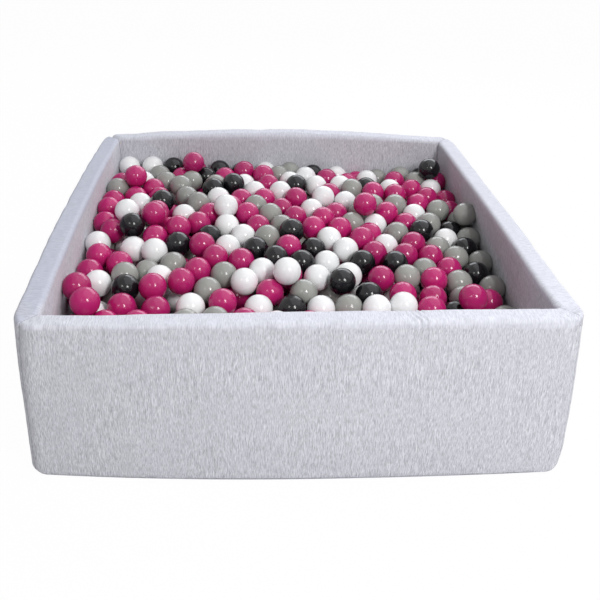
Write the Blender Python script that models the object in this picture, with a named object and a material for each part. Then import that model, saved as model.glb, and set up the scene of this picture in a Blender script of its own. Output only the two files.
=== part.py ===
"""A square foam ball pit: four foam wall boards and a floor mat in a sewn jersey cover with a zip at
the back, filled with plastic balls.

Metres, +Z up. The origin is at the bottom centre of the pit and the front faces -Y.
"""

from math import asin, cos, pi, radians, sin, sqrt

import bmesh
import bpy
import numpy as np
from mathutils import Matrix, Vector
from mathutils.bvhtree import BVHTree
from mathutils.geometry import delaunay_2d_cdt

# Gap between pieces that touch, how near two points of a mesh count as one, and how far cutters run past
GAP = 0.0003
MERGE_DISTANCE = 0.000001
CUT_OVERRUN = 0.020

# Pit
PIT_SIDE = 1.200
WALL_FOAM_HEIGHT = 0.400
WALL_FOAM_THICKNESS = 0.050
FLOOR_FOAM_THICKNESS = 0.040
COVER_THICKNESS = 0.0015
CORNER_RADIUS = 0.042
RIM_RADIUS = 0.019
BOTTOM_RADIUS = 0.030
FRONT_BOW = 0.010
SIDE_BOW = 0.018
BACK_BOW = 0.018
BASE_SEAM_HEIGHT = 0.012

# Balls
BALL_DIAMETER = 0.070
FREEBOARD = 0.014

# Zip, set in a slit low on the back, and how far its ends are from the pit's corners
ZIP_INSET = 0.180
ZIP_HEIGHT = 0.056
ZIP_SLIT_HEIGHT = 0.014
ZIP_TAPE_WIDTH = 0.015
ZIP_TAPE_THICKNESS = 0.0007
ZIP_TAPE_END = 0.014
ZIP_TEETH_WIDTH = 0.0025
ZIP_TEETH_THICKNESS = 0.0018
ZIP_TEETH_PARTING = 0.0010
ZIP_STOP_LENGTH = 0.005

# Slider of the zip and its pull tab
SLIDER_LENGTH = 0.0115
SLIDER_WIDTH = 0.0096
SLIDER_WEB = 0.0004
SLIDER_BACK_WING = 0.0008
SLIDER_FRONT_WING = 0.0012
SLIDER_LIP = 0.0008
SLIDER_CLEARANCE = 0.0004
BRIDGE_LENGTH = 0.0070
BRIDGE_WIDTH = 0.0024
BRIDGE_THICKNESS = 0.0010
BRIDGE_HOLE_HEIGHT = 0.0022
PULL_LENGTH = 0.028
PULL_WIDTH = 0.0066
PULL_THICKNESS = 0.0012
PULL_EYE_LENGTH = 0.0046
PULL_EYE_WIDTH = 0.0040

# Height of the ball centres at the walls and the extra in the middle, as shares of the wall's height
FILL_FRONT_LEFT_SHARE = 0.63
FILL_FRONT_RIGHT_SHARE = 0.56
FILL_BACK_LEFT_SHARE = 0.80
FILL_BACK_RIGHT_SHARE = 0.70
FILL_MOUND_SHARE = 0.14
FILL_MOUND_POWER = 3

# How the balls lie before they settle, as shares of a ball's diameter
LAYER_PITCH_SHARE = 1.05
LAYER_DROP_SHARE = 0.90
LAYER_JITTER_SHARE = 0.30

# Share of the uppermost layer's balls that are there
TOP_LAYER_SHARE = 0.08

# How they settle, in shares of a ball's diameter, of an overlap and of the steps
NEIGHBOUR_SHARE = 1.30
FALL_SHARE = 0.016
GRAIN_SHARE = 0.00001
PUSH_SHARE = 0.50
FALL_STEPS_SHARE = 0.83
FULL_LAYERS = 3
SETTLE_STEPS = 220
NEIGHBOUR_STEPS = 6
HEAP_SEED = 11

# Loose balls: colour, then place as shares of the half width inside the walls
LOOSE_BALL_SHARES = [
    ("black", -0.68, 0.36),
    ("black", -0.41, 0.56),
    ("black", -0.41, 0.01),
    ("black", -0.80, 0.03),
    ("black", -0.77, -0.46),
    ("black", 0.07, 0.63),
    ("black", 0.01, 0.01),
    ("black", 0.71, 0.13),
    ("black", 0.51, -0.21),
    ("black", 0.22, -0.44),
    ("white", -0.67, -0.15),
    ("white", -0.23, -0.43),
    ("white", -0.33, 0.21),
    ("white", 0.21, 0.45),
    ("white", 0.52, 0.86),
    ("grey", -0.60, 0.62),
    ("grey", 0.80, -0.34),
    ("grey", 0.86, 0.40),
    ("grey", -0.48, -0.72),
    ("magenta", 0.64, 0.56),
    ("magenta", 0.37, -0.01),
    ("magenta", -0.52, -0.43),
    ("magenta", 0.61, -0.60),
    ("magenta", -0.12, 0.80),
]

# Counts that set how fine the surfaces are
SIDE_STEPS = 8
CORNER_STEPS = 2
RIM_STEPS = 3
BOTTOM_STEPS = 3
BALL_SEGMENTS = 12
BALL_RINGS = 7
EDGE_PROBES = 4
FACE_PROBES = 3
TIP_STEPS = 8
SHARP_ANGLE = radians(35)

# Where the points of a ball of the bed lie, as shares of its radius
RING_SHARES = (0.80, 0.45)
POINT_SPACING_SHARE = 0.18
PORE_DEPTH_SHARE = 2.00

# How far each wall bows outwards, in the order in which quarter turns about +Z reach the sides
BOWS = {"front": FRONT_BOW, "right": SIDE_BOW, "back": BACK_BOW, "left": SIDE_BOW}

# Sizes that follow from the ones above
HALF = PIT_SIDE / 2
CORE = HALF - CORNER_RADIUS
SKIN = COVER_THICKNESS + GAP
PIT_HEIGHT = SKIN + WALL_FOAM_HEIGHT + SKIN
WALL = SKIN + WALL_FOAM_THICKNESS + SKIN
INSIDE_HALF = HALF - WALL
FLOOR_FOAM_TOP = SKIN + FLOOR_FOAM_THICKNESS
FLOOR_TOP = FLOOR_FOAM_TOP + SKIN
BALL_RADIUS = BALL_DIAMETER / 2
BALL_TOP_LIMIT = PIT_HEIGHT - FREEBOARD - BALL_RADIUS
BOW_RADIUS = CORE * CORE / (2 * BACK_BOW)
ZIP_LENGTH = PIT_SIDE - 2 * ZIP_INSET
TEETH_INNER = HALF + GAP + (ZIP_TAPE_THICKNESS - ZIP_TEETH_THICKNESS) / 2
TEETH_OUTER = TEETH_INNER + ZIP_TEETH_THICKNESS
TEETH_FAR_EDGE = ZIP_TEETH_PARTING / 2 + ZIP_TEETH_WIDTH


def clear_scene():
    """Remove every object, so that the file can be run again."""
    for obj in list(bpy.data.objects):
        bpy.data.objects.remove(obj, do_unlink=True)


def material(name, colour, roughness, metallic=0.0):
    """A plain Principled material."""
    made = bpy.data.materials.new(name)
    made.use_nodes = True
    shader = made.node_tree.nodes["Principled BSDF"]
    shader.inputs["Base Color"].default_value = (*colour, 1.0)
    shader.inputs["Roughness"].default_value = roughness
    shader.inputs["Metallic"].default_value = metallic
    made.diffuse_color = (*colour, 1.0)
    return made


def mesh_from(name, points, faces, look):
    """A closed mesh with coincident points merged and its faces turned outwards."""
    bm = bmesh.new()
    corners = [bm.verts.new(p) for p in points]
    for face in faces:
        distinct = [corners[i] for i in dict.fromkeys(face)]
        if len({tuple(corner.co) for corner in distinct}) > 2:
            bm.faces.new(distinct)
    bmesh.ops.remove_doubles(bm, verts=bm.verts, dist=MERGE_DISTANCE)
    bmesh.ops.dissolve_degenerate(bm, edges=bm.edges, dist=MERGE_DISTANCE)
    bmesh.ops.recalc_face_normals(bm, faces=bm.faces)
    made = bpy.data.meshes.new(name)
    bm.to_mesh(made)
    bm.free()
    made.materials.append(look)
    made.shade_smooth()
    made.set_sharp_from_angle(angle=SHARP_ANGLE)
    return made


def place(name, mesh, location=(0, 0, 0), turn=0.0, parent=None):
    """An object of the given mesh, turned about Z."""
    obj = bpy.data.objects.new(name, mesh)
    obj.location = location
    obj.rotation_euler = (0, 0, turn)
    obj.parent = parent
    bpy.context.scene.collection.objects.link(obj)
    return obj


def side_line(reach, bow, joint=0.0):
    """One side's line in plan, from corner to corner, as (along, outward) points.

    The line lies at reach from the centre, bows outwards between the corners and turns half of each
    rounded corner. It stops short of the corner's diagonal by the joint.
    """
    radius = max(reach - CORE, 0.0)
    straight = min(reach, CORE)
    quarter = pi / 4
    line = []
    for step in range(CORNER_STEPS):
        angle = quarter * (1 - step / CORNER_STEPS)
        line.append((-straight - radius * sin(angle), straight + radius * cos(angle)))
    for step in range(SIDE_STEPS + 1):
        share = 2 * step / SIDE_STEPS - 1
        line.append((straight * share, reach + bow * (1 - share * share)))
    for step in range(CORNER_STEPS):
        angle = quarter * (step + 1) / CORNER_STEPS
        line.append((straight + radius * sin(angle), straight + radius * cos(angle)))
    return [(max(min(x, y - joint), joint - y), y) for x, y in line]


def outline(reach):
    """The closed plan line round the pit at a reach, anticlockwise from the front's left corner."""
    line = []
    for turn, bow in enumerate(BOWS.values()):
        quarter_turn = Matrix.Rotation(turn * pi / 2, 2)
        for x, y in side_line(reach, bow)[:-1]:
            line.append(quarter_turn @ Vector((x, -y)))
    return line


def arc(centre, radius, start, end, steps):
    """Points of a profile on an arc, from start to end in radians."""
    angles = [start + (end - start) * step / steps for step in range(steps + 1)]
    return [(centre[0] + radius * cos(a), centre[1] + radius * sin(a)) for a in angles]


def sweep_side(name, bow, outer, inner, look):
    """A wall piece swept along the front side between two profile lines of (reach, height) points."""
    profile = outer + inner[::-1]
    lines = [side_line(reach, bow, GAP / sqrt(2)) for reach, _ in profile]
    stations = len(lines[0])
    count = len(profile)
    points = []
    for station in range(stations):
        for (reach, height), line in zip(profile, lines):
            points.append((line[station][0], -line[station][1], height))
    faces = []
    for station in range(stations - 1):
        start = station * count
        for k in range(count):
            after = (k + 1) % count
            faces.append((start + k, start + after, start + count + after, start + count + k))
    for start in (0, (stations - 1) * count):
        for k in range(len(outer) - 1):
            far = count - 1 - k
            faces.append((start + k, start + k + 1, start + far - 1, start + far))
    return mesh_from(name, points, faces, look)


def disc(name, rings, look):
    """A plate from plan rings of (reach, height), from the middle of its underside to the middle on top."""
    loops = [[(p.x, p.y, height) for p in outline(reach)] for reach, height in rings]
    count = len(loops[0])
    points = [p for loop in loops for p in loop]
    faces = [tuple(range(count)), tuple(range(len(points) - count, len(points)))]
    for ring in range(len(rings) - 1):
        start = ring * count
        for k in range(count):
            after = (k + 1) % count
            faces.append((start + k, start + after, start + count + after, start + count + k))
    return mesh_from(name, points, faces, look)


def box_mesh(name, low, high, look):
    """A rectangular block between two corners."""
    points = [(x, y, z) for x in (low[0], high[0]) for y in (low[1], high[1]) for z in (low[2], high[2])]
    faces = [(0, 1, 3, 2), (4, 5, 7, 6), (0, 1, 5, 4), (2, 3, 7, 6), (0, 2, 6, 4), (1, 3, 7, 5)]
    return mesh_from(name, points, faces, look)


def wall_outer_profile(inset, start_angle):
    """The outer face's profile at an inset, from the bottom rounding to the middle of the rim."""
    turn = arc(
        (HALF - BOTTOM_RADIUS, BOTTOM_RADIUS), BOTTOM_RADIUS - inset, start_angle, 0.0, BOTTOM_STEPS
    )
    rim = arc((HALF - RIM_RADIUS, PIT_HEIGHT - RIM_RADIUS), RIM_RADIUS - inset, 0.0, pi / 2, RIM_STEPS)
    return turn + rim


def wall_inner_profile(inset, foot):
    """The inner face's profile at an inset, from the rim down to a height."""
    rim = arc(
        (INSIDE_HALF + RIM_RADIUS, PIT_HEIGHT - RIM_RADIUS), RIM_RADIUS - inset, pi / 2, pi, RIM_STEPS
    )
    return rim + [(INSIDE_HALF + inset, foot)]


def seam_angle(past=0.0):
    """Angle on the bottom rounding of the seam between the base panel and the walls' panels."""
    return -asin(1 - BASE_SEAM_HEIGHT / BOTTOM_RADIUS) + past / BOTTOM_RADIUS


def foam_walls(look):
    """Four bowed boards, mitred at the corners and rounded along the rim and the outer bottom edge."""
    outer = wall_outer_profile(SKIN, -pi / 2)
    inner = wall_inner_profile(SKIN, SKIN)
    foot = inner.pop()
    top = [outer.pop(), inner.pop(0)]
    inner = [foot] + padded_line(inner, top[1], len(outer))
    for turn, (side, bow) in enumerate(BOWS.items()):
        name = f"foam_wall_{side}"
        place(name, sweep_side(name, bow, outer + top[:1], inner, look), turn=turn * pi / 2)


def padded_line(inner, top, count):
    """The inner line from the foot up, with as many points as the outer line it is paired with."""
    upward = inner[::-1] + [top]
    missing = count - len(upward)
    foot_end = upward[0]
    return [foot_end] * missing + upward


def cover_walls(look):
    """Four sleeves that start at the base seam, turn over the rim and end on the floor mat."""
    outer = wall_outer_profile(0.0, seam_angle(GAP)) + wall_inner_profile(0.0, FLOOR_FOAM_TOP + GAP)
    inner = wall_outer_profile(COVER_THICKNESS, seam_angle(GAP)) + wall_inner_profile(
        COVER_THICKNESS, FLOOR_FOAM_TOP + GAP
    )
    for turn, (side, bow) in enumerate(BOWS.items()):
        name = f"cover_{side}"
        place(name, sweep_side(name, bow, outer, inner, look), turn=turn * pi / 2)
    back = bpy.data.objects["cover_back"]
    half_slit = ZIP_LENGTH / 2 + ZIP_STOP_LENGTH + 2 * GAP
    cutter = place(
        "cutter_zip_slit",
        box_mesh(
            "cutter_zip_slit",
            (-half_slit, HALF - WALL / 2, ZIP_HEIGHT - ZIP_SLIT_HEIGHT / 2),
            (half_slit, HALF + BACK_BOW + CUT_OVERRUN, ZIP_HEIGHT + ZIP_SLIT_HEIGHT / 2),
            look,
        ),
    )
    cutter.hide_render = True
    cutter.display_type = "WIRE"
    slit = back.modifiers.new("zip_slit", "BOOLEAN")
    slit.operation = "DIFFERENCE"
    slit.object = cutter


def cover_base(look):
    """The underside's panel, a shallow tray whose edge turns up to the seam."""
    centre = (HALF - BOTTOM_RADIUS, BOTTOM_RADIUS)
    rise = arc(centre, BOTTOM_RADIUS, -pi / 2, seam_angle(), BOTTOM_STEPS)
    back_down = arc(centre, BOTTOM_RADIUS - COVER_THICKNESS, seam_angle(), -pi / 2, BOTTOM_STEPS)
    place("cover_base", disc("cover_base", rise + back_down, look))


def floor_pieces(foam, cloth):
    """The floor mat between the walls and the cover's panel on top of it."""
    mat_reach = HALF - SKIN - WALL_FOAM_THICKNESS - GAP
    mat = [(mat_reach, SKIN), (mat_reach, FLOOR_FOAM_TOP)]
    place("foam_floor", disc("foam_floor", mat, foam))
    panel_reach = INSIDE_HALF - GAP
    panel = [(panel_reach, FLOOR_FOAM_TOP + GAP), (panel_reach, FLOOR_FOAM_TOP + SKIN)]
    place("cover_floor", disc("cover_floor", panel, cloth))


def bow_at(side, along):
    """How far a wall's inner face bows outwards at a place along it."""
    share = np.clip(along / INSIDE_HALF, -1, 1)
    return BOWS[side] * (1 - share * share)


def fill_level(x, y):
    """Height of the uppermost ball centres, highest away from the walls."""
    u = np.clip(x / INSIDE_HALF, -1, 1)
    v = np.clip(y / INSIDE_HALF, -1, 1)
    front = FILL_FRONT_LEFT_SHARE * (1 - u) / 2 + FILL_FRONT_RIGHT_SHARE * (1 + u) / 2
    back = FILL_BACK_LEFT_SHARE * (1 - u) / 2 + FILL_BACK_RIGHT_SHARE * (1 + u) / 2
    edge = front * (1 - v) / 2 + back * (1 + v) / 2
    mound = (1 - abs(u) ** FILL_MOUND_POWER) * (1 - abs(v) ** FILL_MOUND_POWER)
    return PIT_HEIGHT * (edge + FILL_MOUND_SHARE * mound)


def ball_layer(depth):
    """Places of one hexagonal layer, a number of layers below the top."""
    reach = INSIDE_HALF - BALL_RADIUS
    pitch = BALL_DIAMETER * LAYER_PITCH_SHARE
    columns = int(2 * reach / pitch) + 1
    rows = int(2 * reach / (pitch * sin(pi / 3))) + 1
    across = np.linspace(-reach, reach, columns)
    places = []
    for row in range(rows):
        shift = pitch / 4 * (1 if (row + depth) % 2 else -1)
        y = -reach + 2 * reach * row / (rows - 1)
        places += [(x + shift, y) for x in across]
    flat = np.array(places)
    height = fill_level(flat[:, 0], flat[:, 1]) - depth * LAYER_DROP_SHARE * BALL_DIAMETER
    return np.column_stack([flat, height])


def start_heap():
    """Where the balls lie before they settle: the held base, the free layers and the loose balls."""
    random = np.random.default_rng(HEAP_SEED)
    base = ball_layer(FULL_LAYERS)
    free = np.vstack([ball_layer(depth) for depth in range(FULL_LAYERS - 1, -1, -1)])
    free = free + (random.random(free.shape) - 0.5) * LAYER_JITTER_SHARE * BALL_DIAMETER
    crown = ball_layer(-1)
    free = np.vstack([free, crown[random.random(len(crown)) < TOP_LAYER_SHARE]])
    reach = INSIDE_HALF - BALL_RADIUS
    loose = np.array([(u * INSIDE_HALF, v * INSIDE_HALF) for _, u, v in LOOSE_BALL_SHARES])
    loose = np.clip(loose, -reach, reach)
    loose = np.column_stack([loose, fill_level(loose[:, 0], loose[:, 1])])
    span = free[:, None, :] - loose[None, :, :]
    close = (np.hypot(span[:, :, 0], span[:, :, 1]) < BALL_RADIUS) & (span[:, :, 2] > -BALL_RADIUS)
    return base, free[~close.any(axis=1)], loose


def on_grain(centres):
    """Places rounded to the heap's grain, so that it settles alike each time."""
    grain = GRAIN_SHARE * BALL_DIAMETER
    return np.round(centres / grain) * grain


def clear_columns(packed, loose, share):
    """Move packed balls sideways out of the columns above the loose ones, by a share of the overlap."""
    span = packed[:, None, :] - loose[None, :, :]
    aside = np.maximum(np.hypot(span[:, :, 0], span[:, :, 1]), GAP)
    overlap = np.maximum(BALL_DIAMETER + GAP - aside, 0) * (span[:, :, 2] > 0) * share / aside
    moved = packed.copy()
    moved[:, 0] += (overlap * span[:, :, 0]).sum(axis=1)
    moved[:, 1] += (overlap * span[:, :, 1]).sum(axis=1)
    return moved


def settle(base, free, loose):
    """Let the free balls sink and push each other apart, while the loose ones only rise and fall."""
    reach = INSIDE_HALF - BALL_RADIUS
    centres = np.vstack([base, free, loose])
    count = len(centres)
    packed_count = count - len(loose)
    held = np.ones((count, 3))
    held[: len(base)] = 0
    held[packed_count:, :2] = 0
    for step in range(SETTLE_STEPS):
        if step % NEIGHBOUR_STEPS == 0:
            spans = centres[:, None, :] - centres[None, :, :]
            near = (spans * spans).sum(axis=2) < (NEIGHBOUR_SHARE * BALL_DIAMETER) ** 2
            first, second = np.nonzero(np.triu(near, 1))
        slowed = max(1 - step / (FALL_STEPS_SHARE * SETTLE_STEPS), 0)
        centres[:, 2] -= FALL_SHARE * BALL_DIAMETER * slowed * held[:, 2]
        span = centres[second] - centres[first]
        length = np.maximum(np.sqrt(span[:, 0] ** 2 + span[:, 1] ** 2 + span[:, 2] ** 2), GAP)
        push = PUSH_SHARE * np.maximum(BALL_DIAMETER - length, 0) / length
        for axis in range(3):
            pushed = push * span[:, axis]
            moved = np.bincount(second, pushed, count) - np.bincount(first, pushed, count)
            centres[:, axis] += moved * held[:, axis]
        cleared = clear_columns(centres[:packed_count], centres[packed_count:], PUSH_SHARE)
        centres[len(base) : packed_count] = cleared[len(base) :]
        for axis, low_side, high_side in ((0, "left", "right"), (1, "front", "back")):
            low = -reach - bow_at(low_side, centres[:, 1 - axis])
            high = reach + bow_at(high_side, centres[:, 1 - axis])
            inside = np.clip(centres[:, axis], low, high)
            centres[:, axis] = np.where(held[:, axis] > 0, inside, centres[:, axis])
        centres[:, 2] = np.minimum(centres[:, 2], BALL_TOP_LIMIT)
        centres = on_grain(centres)
    return centres[:packed_count], centres[packed_count:]


def heap():
    """Centres of the packed balls and of the loose ones, with nothing above or inside a loose one."""
    packed, loose = settle(*start_heap())
    packed = clear_columns(packed, loose, 1)
    apart = BALL_DIAMETER + GAP
    for centre in loose:
        span = packed - centre
        length = np.maximum(np.sqrt((span * span).sum(axis=1)), GAP)
        packed = np.where((length < apart)[:, None], centre + span * (apart / length)[:, None], packed)
    return on_grain(packed), loose


def bed_height(x, y, packed, loose):
    """Height of the packed balls' upper surface, or of the dark pore between them.

    The pore is deeper under a loose ball, which lies on the balls below it.
    """
    rise = BALL_RADIUS**2 - (x - packed[:, 0]) ** 2 - (y - packed[:, 1]) ** 2
    over = rise > 0
    pore = fill_level(x, y) - PORE_DEPTH_SHARE * BALL_RADIUS
    under = np.hypot(x - loose[:, 0], y - loose[:, 1]) < BALL_DIAMETER
    if under.any():
        pore = min(pore, loose[under, 2].min() - BALL_DIAMETER)
    return max((packed[over, 2] + np.sqrt(rise[over])).max(), pore) if over.any() else pore


def bed_edge():
    """The bed's plan line, whose straight stretches follow the walls' facets."""
    corners = outline(INSIDE_HALF - GAP)
    line = []
    for start, end in zip(corners, corners[1:] + corners[:1]):
        parts = max(int((end - start).length / BALL_RADIUS), 1)
        if (end - start).length > GAP:
            line += [start.lerp(end, part / parts) for part in range(parts)]
    return line


def bed_points(packed, loose):
    """Plan points of the bed: each visible ball's top, a ring round it, the creases and the pores."""
    tops = [
        Vector((x, y))
        for x, y, z in packed
        if bed_height(x, y, packed, loose) < z + BALL_RADIUS + GAP
    ]
    plan, _, triangles, _, _, _ = delaunay_2d_cdt(tops, [], [], 0, MERGE_DISTANCE)
    rings, creases, pores = [], [], []
    for triangle in triangles:
        corners = [plan[i] for i in triangle]
        pores.append(sum(corners, Vector((0, 0))) / 3)
        for near, far in zip(corners, corners[1:] + corners[:1]):
            half = (far - near) / 2
            reach = min(half.length, BALL_RADIUS)
            rings += [near + half.normalized() * reach * share for share in RING_SHARES]
            creases.append(near + half.normalized() * reach)
    return tops + creases + rings + pores


def ball_bed(packed, loose, look):
    """One solid for the balls that stay put, with their tops in its surface."""
    edge = bed_edge()
    kept = np.array([tuple(p) for p in edge])
    spacing = POINT_SPACING_SHARE * BALL_RADIUS
    for x, y in bed_points(packed, loose):
        across = abs(x) - bow_at("right" if x > 0 else "left", y)
        deep = abs(y) - bow_at("back" if y > 0 else "front", x)
        inside = max(across, deep) < INSIDE_HALF - spacing
        if inside and np.hypot(kept[:, 0] - x, kept[:, 1] - y).min() > spacing:
            kept = np.vstack([kept, (x, y)])
    rim = [(k, (k + 1) % len(edge)) for k in range(len(edge))]
    flat = [Vector(p) for p in kept]
    area = [tuple(range(len(edge)))]
    plan, _, triangles, _, _, _ = delaunay_2d_cdt(flat, rim, area, 1, MERGE_DISTANCE)
    top = [(p.x, p.y, float(bed_height(p.x, p.y, packed, loose))) for p in plan]
    uses = {}
    for triangle in triangles:
        for a, b in zip(triangle, triangle[1:] + triangle[:1]):
            uses.setdefault((min(a, b), max(a, b)), []).append((a, b))
    border = dict(pair[0] for pair in uses.values() if len(pair) == 1)
    walk = [next(iter(border))]
    while border[walk[-1]] != walk[0]:
        walk.append(border[walk[-1]])
    under = {vertex: len(top) + k for k, vertex in enumerate(walk)}
    points = top + [(top[vertex][0], top[vertex][1], FLOOR_TOP + GAP) for vertex in walk]
    faces = [tuple(triangle) for triangle in triangles]
    faces += [(a, under[a], under[border[a]], border[a]) for a in walk]
    faces.append(tuple(under[vertex] for vertex in walk))
    bed = mesh_from("ball_bed", points, faces, look)
    place("ball_bed", bed)
    return bed


def ball_mesh(look):
    """A faceted ball with its points on the true radius."""
    bm = bmesh.new()
    bmesh.ops.create_uvsphere(bm, u_segments=BALL_SEGMENTS, v_segments=BALL_RINGS, radius=BALL_RADIUS)
    made = bpy.data.meshes.new("ball")
    bm.to_mesh(made)
    bm.free()
    made.materials.append(look)
    made.shade_smooth()
    return made


def seat_height(x, y, ball, probes, bed_tree, bed_vertices):
    """Height at which a ball over (x, y) first meets the bed.

    Both surfaces are probed for the contact, then the ball rises in small steps until it is clear.
    """
    corners, polygons, ball_tree = ball
    above = Vector((0, 0, PIT_HEIGHT + BALL_DIAMETER))
    heights = []
    for probe in probes:
        hit = bed_tree.ray_cast(Vector((x + probe.x, y + probe.y, 0)) + above, Vector((0, 0, -1)))[0]
        if hit:
            heights.append(hit.z - probe.z)
    near = np.hypot(bed_vertices[:, 0] - x, bed_vertices[:, 1] - y) < BALL_RADIUS
    for bx, by, bz in bed_vertices[near]:
        hit = ball_tree.ray_cast(Vector((bx - x, by - y, -BALL_DIAMETER)), Vector((0, 0, 1)))[0]
        if hit:
            heights.append(bz - hit.z)
    height = max(heights)
    while BVHTree.FromPolygons([c + Vector((x, y, height)) for c in corners], polygons).overlap(bed_tree):
        height += GAP / 2
    return height


def loose_balls(loose, bed, looks):
    """The balls that lift out, each lowered onto the bed at its own place."""
    meshes = {colour: ball_mesh(look) for colour, look in looks.items()}
    shape = meshes["white"]
    corners = [v.co.copy() for v in shape.vertices]
    polygons = [tuple(p.vertices) for p in shape.polygons]
    probes = []
    for polygon in polygons:
        ring = [corners[i] for i in polygon]
        middle = sum(ring, Vector()) / len(ring)
        if middle.z < 0:
            for a, b in zip(ring, ring[1:] + ring[:1]):
                probes += [a.lerp(b, k / EDGE_PROBES) for k in range(EDGE_PROBES)]
                for m in range(1, FACE_PROBES):
                    start, end = a.lerp(middle, m / FACE_PROBES), b.lerp(middle, m / FACE_PROBES)
                    probes += [start.lerp(end, k / FACE_PROBES) for k in range(FACE_PROBES)]
            probes.append(middle)
    ball = (corners, polygons, BVHTree.FromPolygons(corners, polygons))
    bed_tree = BVHTree.FromPolygons([v.co for v in bed.vertices], [tuple(p.vertices) for p in bed.polygons])
    bed_vertices = np.array([tuple(v.co) for v in bed.vertices])
    counts = {}
    for (colour, _, _), (x, y, _) in zip(LOOSE_BALL_SHARES, loose):
        counts[colour] = counts.get(colour, 0) + 1
        z = seat_height(x, y, ball, probes, bed_tree, bed_vertices) + GAP
        place(f"ball_{colour}_{counts[colour]:02d}", meshes[colour], (x, y, z))


def zip_strip(name, low, high, half_length, look):
    """A strip of the zip along the back's bow, between two (outward, height) corners."""
    stations = [CORE * (2 * k / SIDE_STEPS - 1) for k in range(SIDE_STEPS + 1)]
    bows = [BACK_BOW * (1 - (x / CORE) ** 2) for x in stations]
    along = [-half_length] + [x for x in stations if abs(x) < half_length - GAP] + [half_length]
    section = [(low[0], low[1]), (high[0], low[1]), (high[0], high[1]), (low[0], high[1])]
    points = []
    for x in along:
        bow = float(np.interp(x, stations, bows))
        points += [(x, out + bow, height) for out, height in section]
    faces = [(0, 1, 2, 3), tuple(range(len(points) - 4, len(points)))]
    for station in range(len(along) - 1):
        start = 4 * station
        faces += [(start + k, start + (k + 1) % 4, start + 4 + (k + 1) % 4, start + 4 + k) for k in range(4)]
    place(name, mesh_from(name, points, faces, look))


def zip_stop(name, along, look):
    """A stop block past the end of the teeth, between the tapes' edges."""
    share = along / CORE
    turn = asin(along / BOW_RADIUS)
    half_height = TEETH_FAR_EDGE - GAP
    block = box_mesh(
        name,
        (-ZIP_STOP_LENGTH / 2, TEETH_INNER - HALF, -half_height),
        (ZIP_STOP_LENGTH / 2, TEETH_OUTER - HALF, half_height),
        look,
    )
    place(name, block, (along, HALF + BACK_BOW * (1 - share * share), ZIP_HEIGHT), -turn)


def zip_fixed(tape, teeth, metal):
    """Tapes, teeth and end stops."""
    for name, sign in (("upper", 1), ("lower", -1)):
        near = ZIP_HEIGHT + sign * (TEETH_FAR_EDGE + GAP)
        far = ZIP_HEIGHT + sign * (TEETH_FAR_EDGE + GAP + ZIP_TAPE_WIDTH)
        zip_strip(
            f"zip_tape_{name}",
            (HALF + GAP, min(near, far)),
            (HALF + GAP + ZIP_TAPE_THICKNESS, max(near, far)),
            ZIP_LENGTH / 2 + ZIP_TAPE_END,
            tape,
        )
        near = ZIP_HEIGHT + sign * ZIP_TEETH_PARTING / 2
        far = ZIP_HEIGHT + sign * TEETH_FAR_EDGE
        zip_strip(
            f"zip_teeth_{name}",
            (TEETH_INNER, min(near, far)),
            (TEETH_OUTER, max(near, far)),
            ZIP_LENGTH / 2,
            teeth,
        )
    end = ZIP_LENGTH / 2 + GAP + ZIP_STOP_LENGTH / 2
    zip_stop("zip_stop_closed_end", end, metal)
    zip_stop("zip_stop_open_end", -end, metal)


def extrude_outline(name, line, depth, look):
    """A plate from an (x, y) outline, as deep as given along Z and centred on it."""
    count = len(line)
    points = [(x, y, -depth / 2) for x, y in line] + [(x, y, depth / 2) for x, y in line]
    faces = [tuple(range(count)), tuple(range(count, 2 * count))]
    faces += [(k, (k + 1) % count, count + (k + 1) % count, count + k) for k in range(count)]
    return mesh_from(name, points, faces, look)


def slider_body(metal):
    """The slider's two wings and the web between them, with lips on the front wing.

    Its own X runs along the zip, Y outwards from the pit's face and Z up, with Y measured from the
    outer face of the cover.
    """
    back_inner = TEETH_INNER - SLIDER_CLEARANCE - SLIDER_BACK_WING - HALF
    back_outer = back_inner + SLIDER_BACK_WING
    front_inner = TEETH_OUTER + SLIDER_CLEARANCE - HALF
    front_outer = front_inner + SLIDER_FRONT_WING
    lip = GAP + ZIP_TAPE_THICKNESS + SLIDER_CLEARANCE
    half = SLIDER_WIDTH / 2
    web = SLIDER_WEB / 2
    right = [
        (back_inner, half),
        (back_outer, half),
        (back_outer, web),
        (front_inner, web),
        (front_inner, half - SLIDER_LIP),
        (lip, half - SLIDER_LIP),
        (lip, half),
        (front_outer, half),
    ]
    section = right + [(out, -height) for out, height in reversed(right)]
    body = extrude_outline("zip_slider", section, SLIDER_LENGTH, metal)
    body.transform(Matrix(((0, 0, 1, 0), (1, 0, 0, 0), (0, 1, 0, 0), (0, 0, 0, 1))))
    return body, front_outer


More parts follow.
